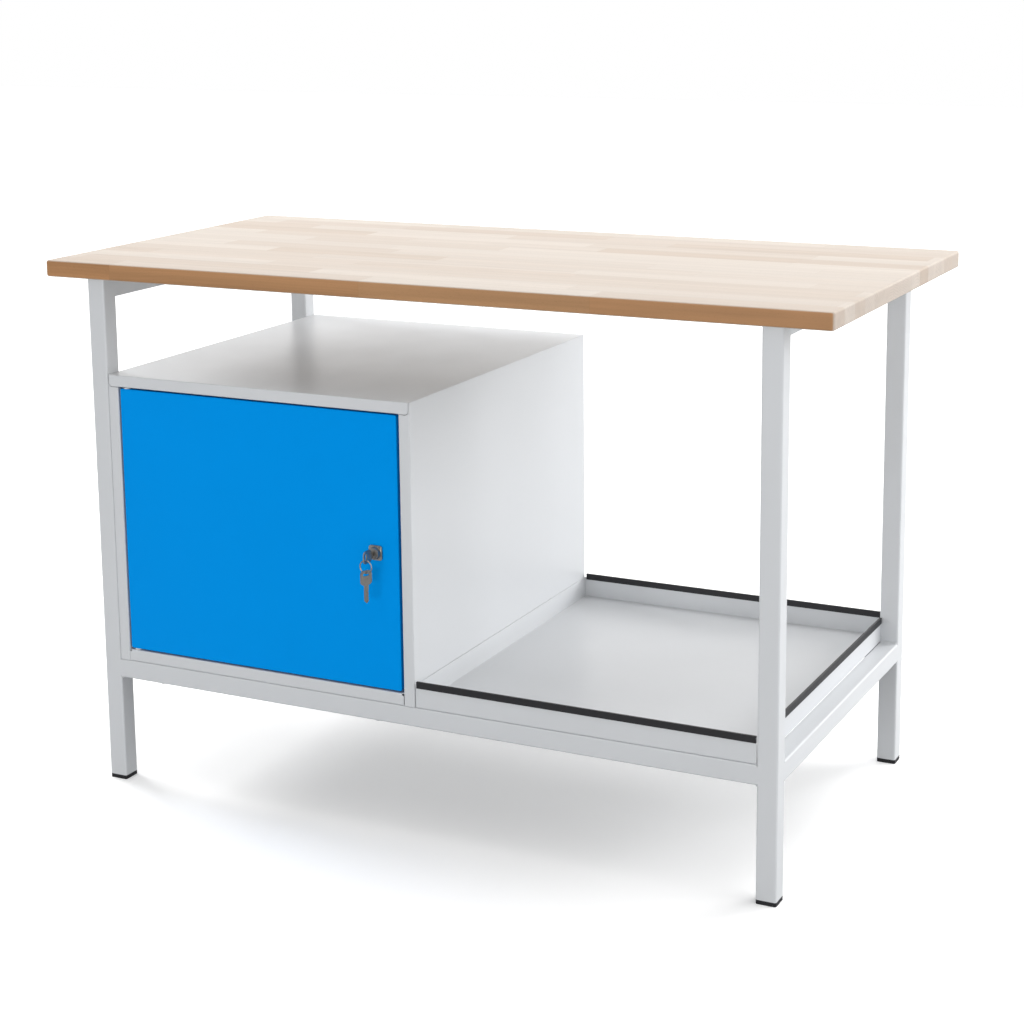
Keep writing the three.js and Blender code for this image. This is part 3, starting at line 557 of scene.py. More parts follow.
finishes = {
    "grey_paint": makePaint("greyPowderCoat"),
    "blue_paint": makePaint("bluePowderCoat"),
    "beech": makeBeech(),
    "black_plastic": makeMoulded("blackPlastic"),
    "rubber": makeMoulded("bufferRubber"),
    "nylon": makeMoulded("whiteNylon"),
    "nickel": makePlating("nickelPlate"),
    "zinc": makePlating("zincPlate"),
}
slotOf = {node: part.data.materials[0].name.split(".")[0] for node, part in nodes.items()}
print("finishes built:", ", ".join(finishes))

# Meshes

mergeReach = 0.002 * mm  # vertices nearer than this are one
flatWithin = math.radians(0.5)  # facets that differ by less are one face


def addPiece(name, mesh):
    piece = bpy.data.objects.new(name, mesh)
    scene.collection.objects.link(piece)
    return piece


def addShape(name, shape):
    mesh = bpy.data.meshes.new(name)
    shape.to_mesh(mesh)
    shape.free()
    return addPiece(name, mesh)


def settle(piece):
    # turns the live modifiers into a plain mesh
    ready = piece.evaluated_get(bpy.context.evaluated_depsgraph_get())
    mesh = bpy.data.meshes.new_from_object(ready)
    piece.modifiers.clear()
    old = piece.data
    piece.data = mesh
    mesh.name = piece.name
    bpy.data.meshes.remove(old)


def seat(piece, body, slot, *stoodFor):
    piece.data.materials.clear()
    piece.data.materials.append(finishes[slot])
    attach(piece, body)
    if stoodFor:
        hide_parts(*stoodFor)


def soften(piece, width, segments=2, sharp=38.0):
    # a small round on edges sharper than the given degrees, then normals that keep the flat faces flat
    for face in piece.data.polygons:
        face.use_smooth = True
    if width:
        edge = piece.modifiers.new("edges", "BEVEL")
        edge.width = width
        edge.segments = segments
        edge.limit_method = "ANGLE"
        edge.angle_limit = math.radians(sharp)
        edge.use_clamp_overlap = True
    even = piece.modifiers.new("normals", "WEIGHTED_NORMAL")
    even.keep_sharp = True
    settle(piece)


def cleanCopy(node, name):
    # a merged copy of a CAD node, with its flat faces in one piece
    mesh = nodes[node].data.copy()
    shaded = mesh.attributes.get("custom_normal")
    if shaded:
        mesh.attributes.remove(shaded)
    shape = bmesh.new()
    shape.from_mesh(mesh)
    bmesh.ops.remove_doubles(shape, verts=shape.verts, dist=mergeReach)
    bmesh.ops.dissolve_limit(shape, angle_limit=flatWithin, verts=shape.verts, edges=shape.edges)
    shape.to_mesh(mesh)
    shape.free()
    return addPiece(name, mesh)


def rises(edge, least):
    return abs(edge.verts[0].co.z - edge.verts[1].co.z) > least


def roundEdges(shape, edges, radius, steps):
    bmesh.ops.bevel(shape, geom=edges, offset=radius, segments=steps, profile=0.5, affect="EDGES")


# Worktop

worktop = {"edgeRadius": 3 * mm, "cornerRadius": 5 * mm, "edgeSteps": 5, "cornerSteps": 5}


def makeWorktop():
    low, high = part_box("worktop")
    shape = bmesh.new()
    bmesh.ops.create_cube(shape, size=1.0)
    size = high - low
    middle = (high + low) / 2
    for vert in shape.verts:
        vert.co = Vector([middle[k] + vert.co[k] * size[k] for k in range(3)])
    upright = [e for e in shape.edges if rises(e, size.z / 2)]
    roundEdges(shape, upright, worktop["cornerRadius"], worktop["cornerSteps"])
    rims = [e for e in shape.edges if not rises(e, size.z / 2)]
    roundEdges(shape, rims, worktop["edgeRadius"], worktop["edgeSteps"])
    board = addShape("beech_worktop", shape)
    soften(board, 0.0)
    seat(board, "bench", "beech", "worktop")


makeWorktop()
print("worktop made")

# Tubes, sheets, trims and small turned pieces: softened copies of the CAD nodes

softEdges = {  # how far each kind of sharp edge is rounded, and in how many steps
    "sheet": (0.22 * mm, 2),
    "tube": (0.30 * mm, 2),
    "foot": (0.9 * mm, 3),
    "trim": (0.45 * mm, 3),
    "lock": (0.35 * mm, 2),
    "pin": (0.11 * mm, 2),
    "small": (0.25 * mm, 2),
}


def endingIn(*endings):
    return [node for node in nodes if node.endswith(endings)]


kinds = {
    "sheet": [
        "cabinet_lid",
        "cabinet_left_side",
        "cabinet_right_side",
        "cabinet_floor",
        "cabinet_back",
        "door_stop_strip",
        "shelf",
        "shelf_support_left",
        "shelf_support_right",
        "tray",
        "door_panel",
        "door_stiffener",
    ],
    "tube": endingIn("_leg", "_rail"),
    "foot": endingIn("_foot"),
    "trim": endingIn("_trim"),
    "lock": ["lock_housing", "lock_nut", "lock_plug", "lock_cam", "cam_screw"],
    "pin": endingIn("_pin"),
    "small": endingIn("_bush", "_buffer"),
}


def makeSoftCopies():
    for kind, members in kinds.items():
        for node in members:
            piece = cleanCopy(node, node + "_finished")
            soften(piece, *softEdges[kind])
            seat(piece, bodyOf[node], slotOf[node], node)


makeSoftCopies()
print("tubes, sheets, trims and lock pieces made")

# Trees that grow the repeated pieces


def choose(tree, test, otherwise, chosen):
    inputs = {"Switch": test, "False": otherwise, "True": chosen}
    return put(tree, "GeometryNodeSwitch", inputs, input_type="GEOMETRY")


def sized(tree, x, y, z):
    return put(tree, "ShaderNodeCombineXYZ", {"X": x, "Y": y, "Z": z})


def newGrower(name, inputs):
    # a tree that grows a piece from a few points and lines, and gives it a finish
    sockets = {"Geometry": "NodeSocketGeometry", **inputs, "Finish": "NodeSocketMaterial"}
    return newGroup(name, "GeometryNodeTree", sockets, {"Geometry": "NodeSocketGeometry"})


def closeTree(tree, given, out, shape):
    solid = put(tree, "GeometryNodeRealizeInstances", {"Geometry": shape})
    done = put(tree, "GeometryNodeSetMaterial", {"Geometry": solid, "Material": given["Finish"]})
    feed(tree, out.inputs["Geometry"], done)
    return tree


turnedLook = {
    "spindle": 10 * mm,  # the outline is swept round a ring of this radius and set back by it
    "prismLength": 0.2,  # longer than any fastener
    "crisp": math.radians(32),  # edges sharper than this stay sharp
}


def turnOutline(tree, given, outline):
    spindle = turnedLook["spindle"]
    setBack = put(tree, "GeometryNodeTransform", {"Geometry": outline, "Translation": (-spindle, 0.0, 0.0)})
    ring = put(tree, "GeometryNodeCurvePrimitiveCircle", {"Resolution": given["Steps"], "Radius": spindle})
    swept = put(tree, "GeometryNodeCurveToMesh", {"Curve": ring, "Profile Curve": setBack})
    return put(tree, "GeometryNodeMergeByDistance", {"Geometry": swept, "Distance": mergeReach})


def cutHexagon(tree, given, turned):
    size = {"Vertices": 6, "Radius": given["Hexagon Radius"], "Depth": turnedLook["prismLength"]}
    prism = put(tree, "GeometryNodeMeshCylinder", size)
    sided = put(tree, "GeometryNodeMeshBoolean", operation="INTERSECT", solver="EXACT")
    for solid in (turned, prism):
        tree.links.new(solid.outputs[0], sided.inputs["Mesh 2"])
    isSided = calc(tree, "GREATER_THAN", given["Hexagon Radius"], 0.0)
    return choose(tree, isSided, turned, sided)


def cutCross(tree, given, formed):
    crossed = put(tree, "GeometryNodeMeshBoolean", {"Mesh 1": formed}, operation="DIFFERENCE", solver="EXACT")
    depth = calc(tree, "MULTIPLY", given["Cross Depth"], 2.0)
    for x, y in (("Cross Length", "Cross Width"), ("Cross Width", "Cross Length")):
        slot = put(tree, "GeometryNodeMeshCube", {"Size": sized(tree, given[x], given[y], depth)})
        tree.links.new(slot.outputs[0], crossed.inputs["Mesh 2"])
    isCrossed = calc(tree, "GREATER_THAN", given["Cross Length"], 0.0)
    return choose(tree, isCrossed, formed, crossed)


def makeTurnedTree():
    # turns an outline about its own axis and sets it on every loose point of the mesh;
    # an outline lists (radius, height), with heights counted up from that point
    inputs = {
        "Steps": 24,
        "Hexagon Radius": 0.0,  # none where 0
        "Cross Length": 0.0,  # none where 0
        "Cross Width": 0.0011,
        "Cross Depth": 0.0019,
        "Tilt": 0.0,  # about X
    }
    tree, given, out = newGrower("turned fasteners", inputs)
    alone = put(tree, "FunctionNodeCompare", data_type="INT", operation="EQUAL")
    feed(tree, alone.inputs[2], put(tree, "GeometryNodeInputMeshVertexNeighbors").outputs["Vertex Count"])
    alone.inputs[3].default_value = 0
    split = put(tree, "GeometryNodeSeparateGeometry", {"Geometry": given["Geometry"], "Selection": alone})
    outline = put(tree, "GeometryNodeMeshToCurve", {"Mesh": split.outputs["Inverted"]})
    formed = cutHexagon(tree, given, turnOutline(tree, given, outline))
    smooth = put(tree, "GeometryNodeSetShadeSmooth", {"Geometry": cutCross(tree, given, formed)})
    angle = put(tree, "GeometryNodeInputMeshEdgeAngle").outputs["Unsigned Angle"]
    soft = calc(tree, "LESS_THAN", angle, turnedLook["crisp"])
    inputs = {"Geometry": smooth, "Shade Smooth": soft}
    crisp = put(tree, "GeometryNodeSetShadeSmooth", inputs, domain="EDGE")
    lean = put(tree, "ShaderNodeCombineXYZ", {"X": given["Tilt"]})
    inputs = {"Points": split.outputs["Selection"], "Instance": crisp, "Rotation": lean}
    return closeTree(tree, given, out, put(tree, "GeometryNodeInstanceOnPoints", inputs))


wireSides = 12  # of a weld bead and of the ring's wire
beadStep = 0.4 * mm


def unitCircle(tree):
    return put(tree, "GeometryNodeCurvePrimitiveCircle", {"Resolution": wireSides, "Radius": 0.5})


def wireSection(tree, outline, width, height):
    return put(tree, "GeometryNodeTransform", {"Geometry": outline, "Scale": sized(tree, width, height, 1.0)})


def makeWeldTree():
    # a bead along every edge of the mesh; rippled, or ground flat where its ripple is 0
    inputs = {"Width": 0.002, "Height": 0.002, "Ripple Length": 0.0016, "Ripple": 0.1}
    tree, given, out = newGrower("weld beads", inputs)
    path = put(tree, "GeometryNodeMeshToCurve", {"Mesh": given["Geometry"]})
    fine = put(tree, "GeometryNodeResampleCurve", {"Curve": path, "Length": beadStep}, mode="LENGTH")
    isRippled = calc(tree, "GREATER_THAN", given["Ripple"], 0.0)
    line = choose(tree, isRippled, path, fine)
    along = put(tree, "GeometryNodeSplineParameter").outputs["Length"]
    turns = calc(tree, "DIVIDE", along, given["Ripple Length"])
    wave = calc(tree, "SINE", calc(tree, "MULTIPLY", turns, 2 * math.pi))
    radius = calc(tree, "MULTIPLY_ADD", wave, given["Ripple"], 1.0)
    swelling = put(tree, "GeometryNodeSetCurveRadius", {"Curve": line, "Radius": radius})
    square = put(tree, "GeometryNodeCurvePrimitiveQuadrilateral", {"Width": 1.0, "Height": 1.0})
    outline = choose(tree, isRippled, square, unitCircle(tree))
    section = wireSection(tree, outline, given["Width"], given["Height"])
    inputs = {"Curve": swelling, "Profile Curve": section, "Fill Caps": True}
    bead = put(tree, "GeometryNodeCurveToMesh", inputs)
    shaded = put(tree, "GeometryNodeSetShadeSmooth", {"Geometry": bead, "Shade Smooth": isRippled})
    return closeTree(tree, given, out, shaded)


ringSteps = 48  # in each turn
turnPitch = 0.52  # from the ring's middle to the middle of each turn, in wire heights


def makeRingTree():
    # a split ring: flat wire in two turns side by side, with a step where it changes over
    inputs = {"Radius": 0.0095, "Wire Width": 0.0018, "Wire Height": 0.00086, "Turns": 1.93}
    tree, given, out = newGrower("split ring", inputs)
    inputs = {"Resolution": ringSteps, "Rotations": given["Turns"], "Height": 0.0}
    inputs.update({"Start Radius": given["Radius"], "End Radius": given["Radius"]})
    coil = put(tree, "GeometryNodeCurveSpiral", inputs)
    along = put(tree, "GeometryNodeSplineParameter").outputs["Factor"]
    first = calc(tree, "DIVIDE", calc(tree, "SUBTRACT", given["Turns"], 1.0), given["Turns"])
    last = calc(tree, "DIVIDE", 1.0, given["Turns"])
    half = calc(tree, "MULTIPLY", given["Wire Height"], turnPitch)
    rise = ramped(tree, along, first, last, calc(tree, "MULTIPLY", half, -1.0), half)
    offset = put(tree, "ShaderNodeCombineXYZ", {"Z": rise})
    stepped = put(tree, "GeometryNodeSetPosition", {"Geometry": coil, "Offset": offset})
    section = wireSection(tree, unitCircle(tree), given["Wire Width"], given["Wire Height"])
    inputs = {"Curve": stepped, "Profile Curve": section, "Fill Caps": True}
    wire = put(tree, "GeometryNodeCurveToMesh", inputs)
    smooth = put(tree, "GeometryNodeSetShadeSmooth", {"Geometry": wire})
    upright = (math.pi / 2, 0.0, 0.0)
    inputs = {"Points": given["Geometry"], "Instance": smooth, "Rotation": upright}
    return closeTree(tree, given, out, put(tree, "GeometryNodeInstanceOnPoints", inputs))


turnedTree = makeTurnedTree()
weldTree = makeWeldTree()
ringTree = makeRingTree()


def faceOutward(piece):
    shape = bmesh.new()
    shape.from_mesh(piece.data)
    bmesh.ops.recalc_face_normals(shape, faces=shape.faces)
    shape.to_mesh(piece.data)
    shape.free()


def grow(name, tree, verts, edges, slot, values):
    mesh = bpy.data.meshes.new(name)
    mesh.from_pydata(verts, edges, [])
    piece = addPiece(name, mesh)
    grower = piece.modifiers.new(tree.name, "NODES")
    grower.node_group = tree
    values = {**values, "Finish": finishes[slot]}
    for item in tree.interface.items_tree:
        if item.in_out == "INPUT" and item.name in values:
            grower[item.identifier] = values[item.name]
    settle(piece)
    faceOutward(piece)
    return piece


def growTurned(name, outline, isClosed, seats, slot, **values):
    verts = [(radius * mm, -height * mm, 0.0) for radius, height in outline]
    edges = [(k, k + 1) for k in range(len(verts) - 1)]
    if isClosed:
        edges.append((len(verts) - 1, 0))
    return grow(name, turnedTree, verts + [tuple(seat) for seat in seats], edges, slot, values)


threadCrest = (0.0, 0.12)  # where the crest begins and ends in each pitch
threadRoot = (0.5, 0.62)


def threadOutline(start, end, pitch, outer, inner):
    points = []
    height = start
    while height + pitch <= end:
        points += [(outer, height + pitch * share) for share in threadCrest]
        points += [(inner, height + pitch * share) for share in threadRoot]
        height += pitch
    return points + [(outer, height)]


# Fasteners

topScrew = {
    "head": [(0, 0), (3.0, 0), (4.1, 0.4), (4.75, 1.05), (5.0, 1.8), (5.0, 3.3), (4.8, 3.5)],
    "shank": 2.5,
    "core": 1.9,
    "pitch": 2.0,
    "threadStart": 6.6,
    "point": 5.0,
    "waist": (0.5, 0.3),  # of the point: a share of the core's radius and of the point's length
    "cross": {"Cross Length": 5.0 * mm, "Cross Width": 1.1 * mm, "Cross Depth": 1.9 * mm},
}
cabinetBolt = {
    "head": [(0, 0), (4.7, 0), (5.9, 0.75), (5.9, 3.8), (5.6, 4.0)],
    "shank": 3.0,
    "core": 2.5,
    "pitch": 1.0,
    "threadStart": 26.0,
    "tip": 0.8,
    "nut": [(3.1, 0.6), (3.7, 0), (4.8, 0), (5.9, 0.7), (5.9, 4.3), (4.8, 5.0), (3.7, 5.0), (3.1, 4.4)],
    "hexagon": {"Hexagon Radius": 5.8 * mm},
}


def startingWith(stem):
    return [node for node in nodes if node.startswith(stem)]


def seatsOf(members):
    # where the fasteners stand, the middle of each node's underside, and their length in millimetres
    boxes = [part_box(node) for node in members]
    seats = [Vector(((low.x + high.x) / 2, (low.y + high.y) / 2, low.z)) for low, high in boxes]
    return seats, (boxes[0][1].z - boxes[0][0].z) / mm


def threadedOutline(look, threadEnd):
    outline = look["head"] + [(look["shank"], look["head"][-1][1])]
    return outline + threadOutline(look["threadStart"], threadEnd, look["pitch"], look["shank"], look["core"])


def makeScrews():
    screws = startingWith("top_screw")
    seats, length = seatsOf(screws)
    look = topScrew
    waistRadius, waistLength = look["waist"]
    outline = threadedOutline(look, length - look["point"])
    outline += [(look["core"] * waistRadius, length - look["point"] * waistLength), (0, length)]
    piece = growTurned("worktop_screws", outline, False, seats, "zinc", **look["cross"])
    seat(piece, "bench", "zinc", *screws)


def makeBolts():
    look = cabinetBolt
    bolts = startingWith("cabinet_bolt")
    seats, length = seatsOf(bolts)
    outline = threadedOutline(look, length - look["tip"]) + [(look["core"], length), (0, length)]
    piece = growTurned("cabinet_bolts", outline, False, seats, "zinc", **look["hexagon"])
    seat(piece, "bench", "zinc", *bolts)
    nuts = startingWith("cabinet_nut")
    seats, _ = seatsOf(nuts)
    piece = growTurned("cabinet_nuts", look["nut"], True, seats, "zinc", **look["hexagon"])
    seat(piece, "bench", "zinc", *nuts)


makeScrews()
makeBolts()
print("screws, bolts and nuts made")

# Welds of the frame

welds = {
    "flush": 0.03,  # ground seams lie this far under the tube's face
    "seamWidth": 3.7,
    "seamDepth": 1.8,
    "seamLap": 0.3,  # over the rail's end
    "bead": 4.4,
    "beadOut": 0.2,  # past the rail's end
    "ripple": 0.07,
    "rippleLength": 1.7,
    "cornerRadius": 3.0,  # of the tube
    "cornerLap": 0.4,  # how far welds reach into the round of the corner
    "angleWall": 3.0,  # of the upper side rails
    "angleRoot": 3.0,
}


def weldEnds(low, high, axis):
    # for both ends of a rail, how far along it the ground seams and the beads lie
    aside = welds["seamWidth"] / 2 - welds["seamLap"]
    for end, tip in ((-1, low[axis]), (1, high[axis])):
        yield tip + end * aside, tip + end * welds["beadOut"]


def weldRail(node, seamsX, seamsY, beads):
    low, high = (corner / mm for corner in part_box(node))
    inset = welds["flush"] + welds["seamDepth"] / 2
    margin = welds["cornerRadius"] - welds["cornerLap"]
    bottom = low.z + margin
    top = high.z - margin
    runsX = high.x - low.x > high.y - low.y
    for seam, bead in weldEnds(low, high, 0 if runsX else 1):
        if runsX:
            for y in (low.y + inset, high.y - inset):
                seamsX.append(((seam, y, bottom), (seam, y, top)))
            beads.append(((bead, low.y + margin, low.z), (bead, high.y - margin, low.z)))
        elif node.startswith("lower"):
            for x in (low.x + inset, high.x - inset):
                seamsY.append(((x, seam, bottom), (x, seam, top)))
            for z in (low.z, high.z):
                beads.append(((low.x + margin, bead, z), (high.x - margin, bead, z)))
        else:
            # an angle: a ground seam on its inner face, beads in the hollow between its limbs
            inward = 1 if low.x < 0 else -1
            outside, inside = (low.x, high.x) if inward > 0 else (high.x, low.x)
            x = inside - inward * inset
            seamsY.append(((x, seam, bottom), (x, seam, top)))
            limb = inside - inward * welds["angleWall"]
            root = limb - inward * welds["angleRoot"]
            under = high.z - welds["angleWall"]
            beads.append(((limb, bead, bottom), (limb, bead, under - welds["angleRoot"])))
            beads.append(((outside + inward * margin, bead, under), (root, bead, under)))


def makeWelds():
    seamsX, seamsY, beads = [], [], []
    for node in endingIn("_rail"):
        weldRail(node, seamsX, seamsY, beads)
    width, depth, bead = (welds[key] for key in ("seamWidth", "seamDepth", "bead"))
    shapes = (
        ("front_and_rear_rail_seams", seamsX, width, depth, 0.0),
        ("side_rail_seams", seamsY, depth, width, 0.0),
        ("rail_weld_beads", beads, bead, bead, welds["ripple"]),
    )
    for name, lines, across, deep, ripple in shapes:
        verts = [tuple(v * mm for v in point) for line in lines for point in line]
        edges = [(k, k + 1) for k in range(0, len(verts), 2)]
        values = {"Width": across * mm, "Height": deep * mm, "Ripple": ripple}
        values["Ripple Length"] = welds["rippleLength"] * mm
        seat(grow(name, weldTree, verts, edges, "grey_paint", values), "bench", "grey_paint")


# Welded corners at the tray's left end, where its walls stop short of each other

trayCorner = {
    "relief": 3.0,
    "sheet": 1.0,
    "bend": 1.5,  # radius at the middle of the sheet
    "wall": 34.0,
    "bendSteps": 5,
    "turnSteps": 8,
    "lap": 2.0,  # degrees, into the ends of the walls
    "merge": 0.001 * mm,
}


def traySection():
    # floor, bend and wall, as (radius, height) about the corner's upright axis
    look = trayCorner
    sheet = look["sheet"]
    outer = look["bend"] + sheet / 2
    inner = look["bend"] - sheet / 2
    flat = look["relief"] - outer
    bends = [k / look["bendSteps"] * math.pi / 2 for k in range(look["bendSteps"] + 1)]
    under = [(flat + outer * math.sin(a), outer - outer * math.cos(a)) for a in bends]
    above = [(flat + inner * math.sin(a), outer - inner * math.cos(a)) for a in reversed(bends)]
    rim = [(look["relief"], look["wall"]), (look["relief"] - sheet, look["wall"])]
    return [(0.0, 0.0)] + under + rim + above + [(0.0, sheet)]


def turnCorner(shape, section, axis, start):
    # a quarter turn of the section, starting at an angle in degrees
    look = trayCorner
    axisX, axisY, base = axis
    rings = []
    for step in range(look["turnSteps"] + 1):
        share = step / look["turnSteps"]
        angle = math.radians(start - look["lap"] + (90.0 + 2 * look["lap"]) * share)
        aside, ahead = math.cos(angle), math.sin(angle)
        spots = [(axisX + r * aside, axisY + r * ahead, base + z) for r, z in section]
        rings.append([shape.verts.new(Vector(spot) * mm) for spot in spots])
    for first, second in zip(rings, rings[1:]):
        for k in range(len(section)):
            after = (k + 1) % len(section)
            shape.faces.new((first[k], first[after], second[after], second[k]))
    shape.faces.new(rings[0])
    shape.faces.new(rings[-1])


def makeTrayCorners():
    low, high = (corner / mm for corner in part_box("tray"))
    relief = trayCorner["relief"]
    shape = bmesh.new()
    for y, start in ((low.y + relief, 180.0), (high.y - relief, 90.0)):
        turnCorner(shape, traySection(), (low.x + relief, y, low.z), start)
    bmesh.ops.remove_doubles(shape, verts=shape.verts, dist=trayCorner["merge"])
    bmesh.ops.recalc_face_normals(shape, faces=shape.faces)
    piece = addShape("tray_corner_welds", shape)
    soften(piece, 0.0)
    seat(piece, "bench", "grey_paint")


makeWelds()
makeTrayCorners()
print("welds made")

# Keys and ring

keyLook = {
    "edge": 0.22 * mm,
    "edgeSteps": 2,
    "sharp": 40.0,  # degrees; sharper edges are rounded
    "half": 1.0,  # half the key's thickness
    "groove": ((-0.9, 1.6), (0.5, 26.5)),  # low and high corner, in the blade
    "grooveDepth": 0.45,
    "field": (13.0, 8.4),
    "fieldMiddle": 34.4,
    "fieldRadius": 2.6,
    "fieldSteps": 4,
    "fieldDepth": 0.12,
    "overshoot": 1.0,  # of the cutter past the key's faces
    "uprightLeast": 0.1,  # a cutter's edge that rises more than this is upright
}
keyPlaces = {  # tip, and turn from a key lying flat with its tip at the origin and its bow along Y
    "key": ((-59.8, -285.9, 426.7), Matrix(((0, 0, 1), (0, -1, 0), (1, 0, 0))).to_4x4()),
    "spare_key": (
        (-59.8, -328.9, 359.0),
        Matrix.Rotation(math.radians(64), 4, "Z") @ Matrix.Rotation(math.radians(90), 4, "X"),
    ),
}
ringLook = {"turns": 1.93, "flatness": 0.48}  # a turn's height as a share of the wire's width


def addBlock(shape, low, high, cornerRadius):
    made = bmesh.ops.create_cube(shape, size=1.0)["verts"]
    for vert in made:
        vert.co = Vector([(low[k] if vert.co[k] < 0 else high[k]) * mm for k in range(3)])
    if cornerRadius:
        upright = {e for v in made for e in v.link_edges if rises(e, keyLook["uprightLeast"] * mm)}
        roundEdges(shape, list(upright), cornerRadius * mm, keyLook["fieldSteps"])


def makeKeyCutter():
    # milled grooves in both faces of the blade, and a plain sunk field on both faces of the bow
    look = keyLook
    halfWide, halfLong = (side / 2 for side in look["field"])
    field = ((-halfWide, look["fieldMiddle"] - halfLong), (halfWide, look["fieldMiddle"] + halfLong))
    cuts = (
        (look["grooveDepth"], look["groove"], 0.0),
        (look["fieldDepth"], field, look["fieldRadius"]),
    )
    shape = bmesh.new()
    for face in (-1, 1):
        for depth, (low, high), radius in cuts:
            bottom, top = sorted((face * (look["half"] - depth), face * (look["half"] + look["overshoot"])))
            addBlock(shape, (*low, bottom), (*high, top), radius)
    return addShape("key_cutter", shape)


def makeKeys():
    cutter = makeKeyCutter()
    for node, (tip, turn) in keyPlaces.items():
        place = Matrix.Translation([v * mm for v in tip]) @ turn
        piece = cleanCopy(node, node + "_finished")
        piece.data.transform(place.inverted())
        carve = piece.modifiers.new("grooves", "BOOLEAN")
        carve.operation = "DIFFERENCE"
        carve.object = cutter
        carve.solver = "EXACT"
        settle(piece)
        soften(piece, keyLook["edge"], keyLook["edgeSteps"], keyLook["sharp"])
        piece.data.transform(place)
        seat(piece, bodyOf[node], slotOf[node], node)
    bpy.data.objects.remove(cutter)


def makeRing():
    low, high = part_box("key_ring")
    middle = (low + high) / 2
    wire = high.y - low.y
    values = {"Radius": (high.x - low.x - wire) / 2, "Wire Width": wire}
    values.update({"Wire Height": wire * ringLook["flatness"], "Turns": ringLook["turns"]})
    piece = grow("split_key_ring", ringTree, [tuple(middle)], [], "nickel", values)
    seat(piece, "ring", "nickel", "key_ring")


makeKeys()
makeRing()
print("keys and ring made")

# Stage: pale floor, soft light

stage = {
    "floorSide": 30.0,
    "floorRough": 0.75,
    "floorSpecular": 0.2,
    "floorSeen": shade(0.98, 0.98, 0.98),
    "floorBounce": shade(0.42, 0.42, 0.42),  # what the floor throws back up at the bench
    "floorMottle": (1.5, 3.0),  # scale and detail
    "floorDust": shade(0.8, 0.8, 0.8),
    "dustShare": 0.03,
    "floorGlow": 0.16,  # near the bench, as the camera sees it
    "farGlow": 0.60,
    "farFrom": (1.4, 6.0),  # metres from the bench over which the floor goes white
    "backdrop": 1.0,  # what the camera sees past the floor
    "brightSide": (0.18, 0.98, 0.0),  # the studio is brightest behind the bench
    "sideFrom": (-0.45, 0.7),
    "worldDim": 0.18,
    "worldBright": 1.6,
    "worldAbove": 0.75,
    "aboveFrom": (0.2, 0.9),
    "lights": [  # name, place, aim, width, height, watts, whether glossy faces mirror it
        ("right softbox", (5.0, 0.9, 2.3), (0.0, 0.0, 0.5), 3.0, 1.8, 36.0, True),
        ("low right fill", (6.0, -0.4, 0.45), (0.0, 0.0, 0.3), 2.4, 0.6, 36.0, False),
        ("rear right softbox", (2.7, 3.0, 1.4), (0.0, 0.0, 0.55), 2.0, 1.5, 88.0, False),
        ("left softbox", (-3.2, 0.7, 2.0), (-0.3, 0.0, 0.62), 1.4, 1.0, 74.0, False),
        ("top softbox", (0.9, 0.5, 3.4), (0.1, 0.1, 0.5), 3.2, 2.6, 46.0, True),
        ("front softbox", (-0.95, -4.1, 3.0), (0.0, -0.2, 0.45), 0.7, 0.6, 12.0, True),
        ("low front fill", (0.4, -7.5, 1.0), (0.0, 0.0, 0.5), 4.8, 1.6, 208.0, True),
    ],
}


def cameraRay(tree):
    return put(tree, "ShaderNodeLightPath").outputs["Is Camera Ray"]


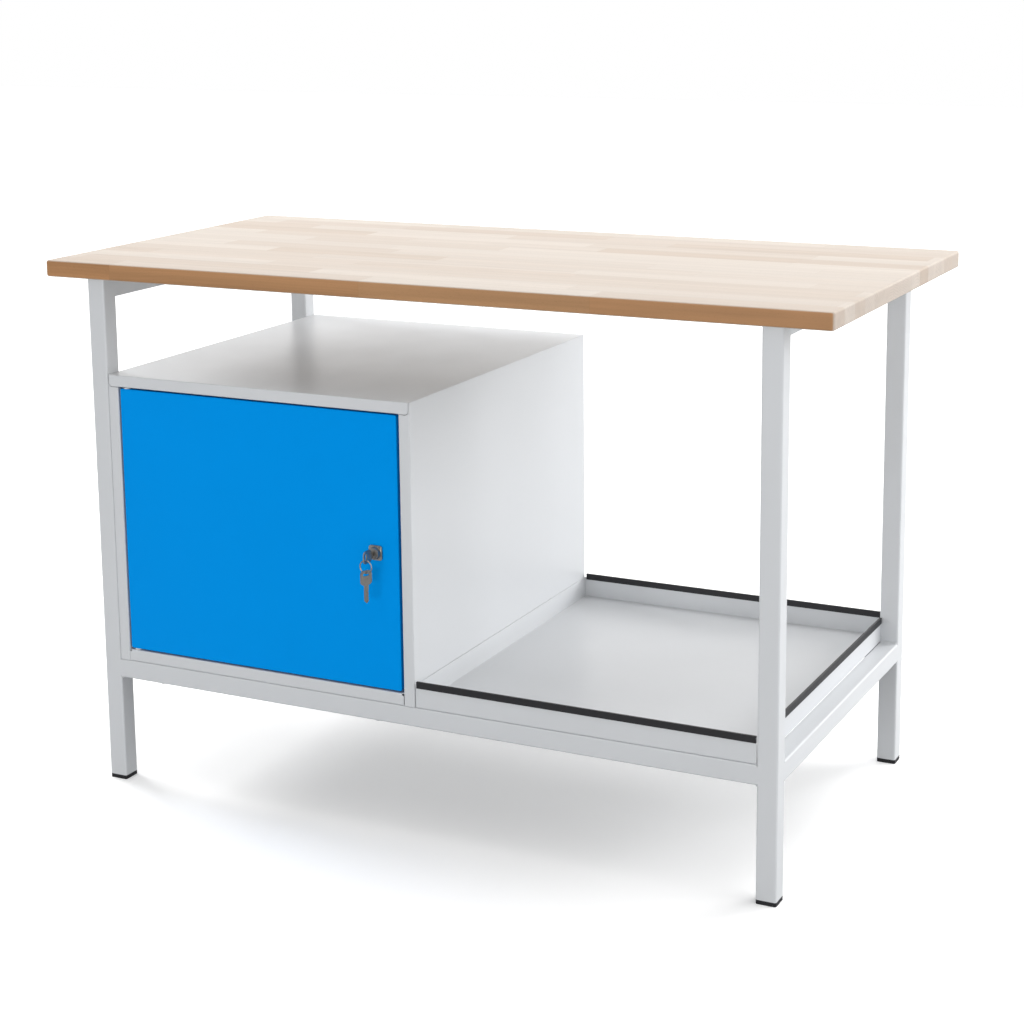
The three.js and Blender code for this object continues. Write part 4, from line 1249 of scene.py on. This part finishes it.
def makeFloor():
    constants = {"Roughness": stage["floorRough"], "Specular_IOR_Level": stage["floorSpecular"]}
    material, tree, skin = newMaterial("paleFloor", **constants)
    place = objectPlace(tree)
    seen = cameraRay(tree)
    dust = calc(tree, "MULTIPLY", noise(tree, place, *stage["floorMottle"]), stage["dustShare"])
    tone = mixed(tree, seen, stage["floorBounce"], stage["floorSeen"])
    feed(tree, skin.inputs["Base Color"], mixed(tree, dust, tone, stage["floorDust"]))
    skin.inputs["Emission Color"].default_value = shade(1.0, 1.0, 1.0)
    away = put(tree, "ShaderNodeVectorMath", {"Vector": place}, operation="LENGTH").outputs["Value"]
    glow = ramped(tree, away, *stage["farFrom"], stage["floorGlow"], stage["farGlow"])
    feed(tree, skin.inputs["Emission Strength"], calc(tree, "MULTIPLY", seen, glow))
    half = stage["floorSide"] / 2
    mesh = bpy.data.meshes.new("studio_floor")
    corners = [(-half, -half, 0.0), (half, -half, 0.0), (half, half, 0.0), (-half, half, 0.0)]
    mesh.from_pydata(corners, [], [(0, 1, 2, 3)])
    mesh.materials.append(material)
    addPiece("studio_floor", mesh)


def makeWorld():
    world = bpy.data.worlds.new("studio")
    scene.world = world
    world.use_nodes = True
    tree = world.node_tree
    tree.nodes.clear()
    toward = put(tree, "ShaderNodeTexCoord").outputs["Generated"]
    rise = splitVector(tree, toward)[2]
    side = dot(tree, toward, stage["brightSide"])
    level = ramped(tree, side, *stage["sideFrom"], stage["worldDim"], stage["worldBright"])
    above = ramped(tree, rise, *stage["aboveFrom"])
    power = calc(tree, "MULTIPLY_ADD", above, calc(tree, "SUBTRACT", stage["worldAbove"], level), level)
    seen = cameraRay(tree)
    power = calc(tree, "MULTIPLY_ADD", seen, calc(tree, "SUBTRACT", stage["backdrop"], power), power)
    glow = put(tree, "ShaderNodeBackground", {"Color": shade(1.0, 1.0, 1.0), "Strength": power})
    put(tree, "ShaderNodeOutputWorld", {"Surface": glow.outputs[0]})


def makeLights():
    for name, place, aim, width, height, watts, isMirrored in stage["lights"]:
        lamp = bpy.data.lights.new(name, "AREA")
        lamp.shape = "RECTANGLE"
        lamp.size = width
        lamp.size_y = height
        lamp.energy = watts
        holder = bpy.data.objects.new(name, lamp)
        holder.visible_glossy = isMirrored
        holder.location = place
        holder.rotation_euler = (Vector(aim) - Vector(place)).to_track_quat("-Z", "Y").to_euler()
        scene.collection.objects.link(holder)


makeFloor()
makeWorld()
makeLights()
scene.view_settings.view_transform = "Standard"
print("stage lit")

# What is left of the CAD nodes keeps its shape and takes the finish of its slot
for node, part in nodes.items():
    if not part.hide_render:
        part.data.materials[0] = finishes[slotOf[node]]

bpy.context.view_layer.update()
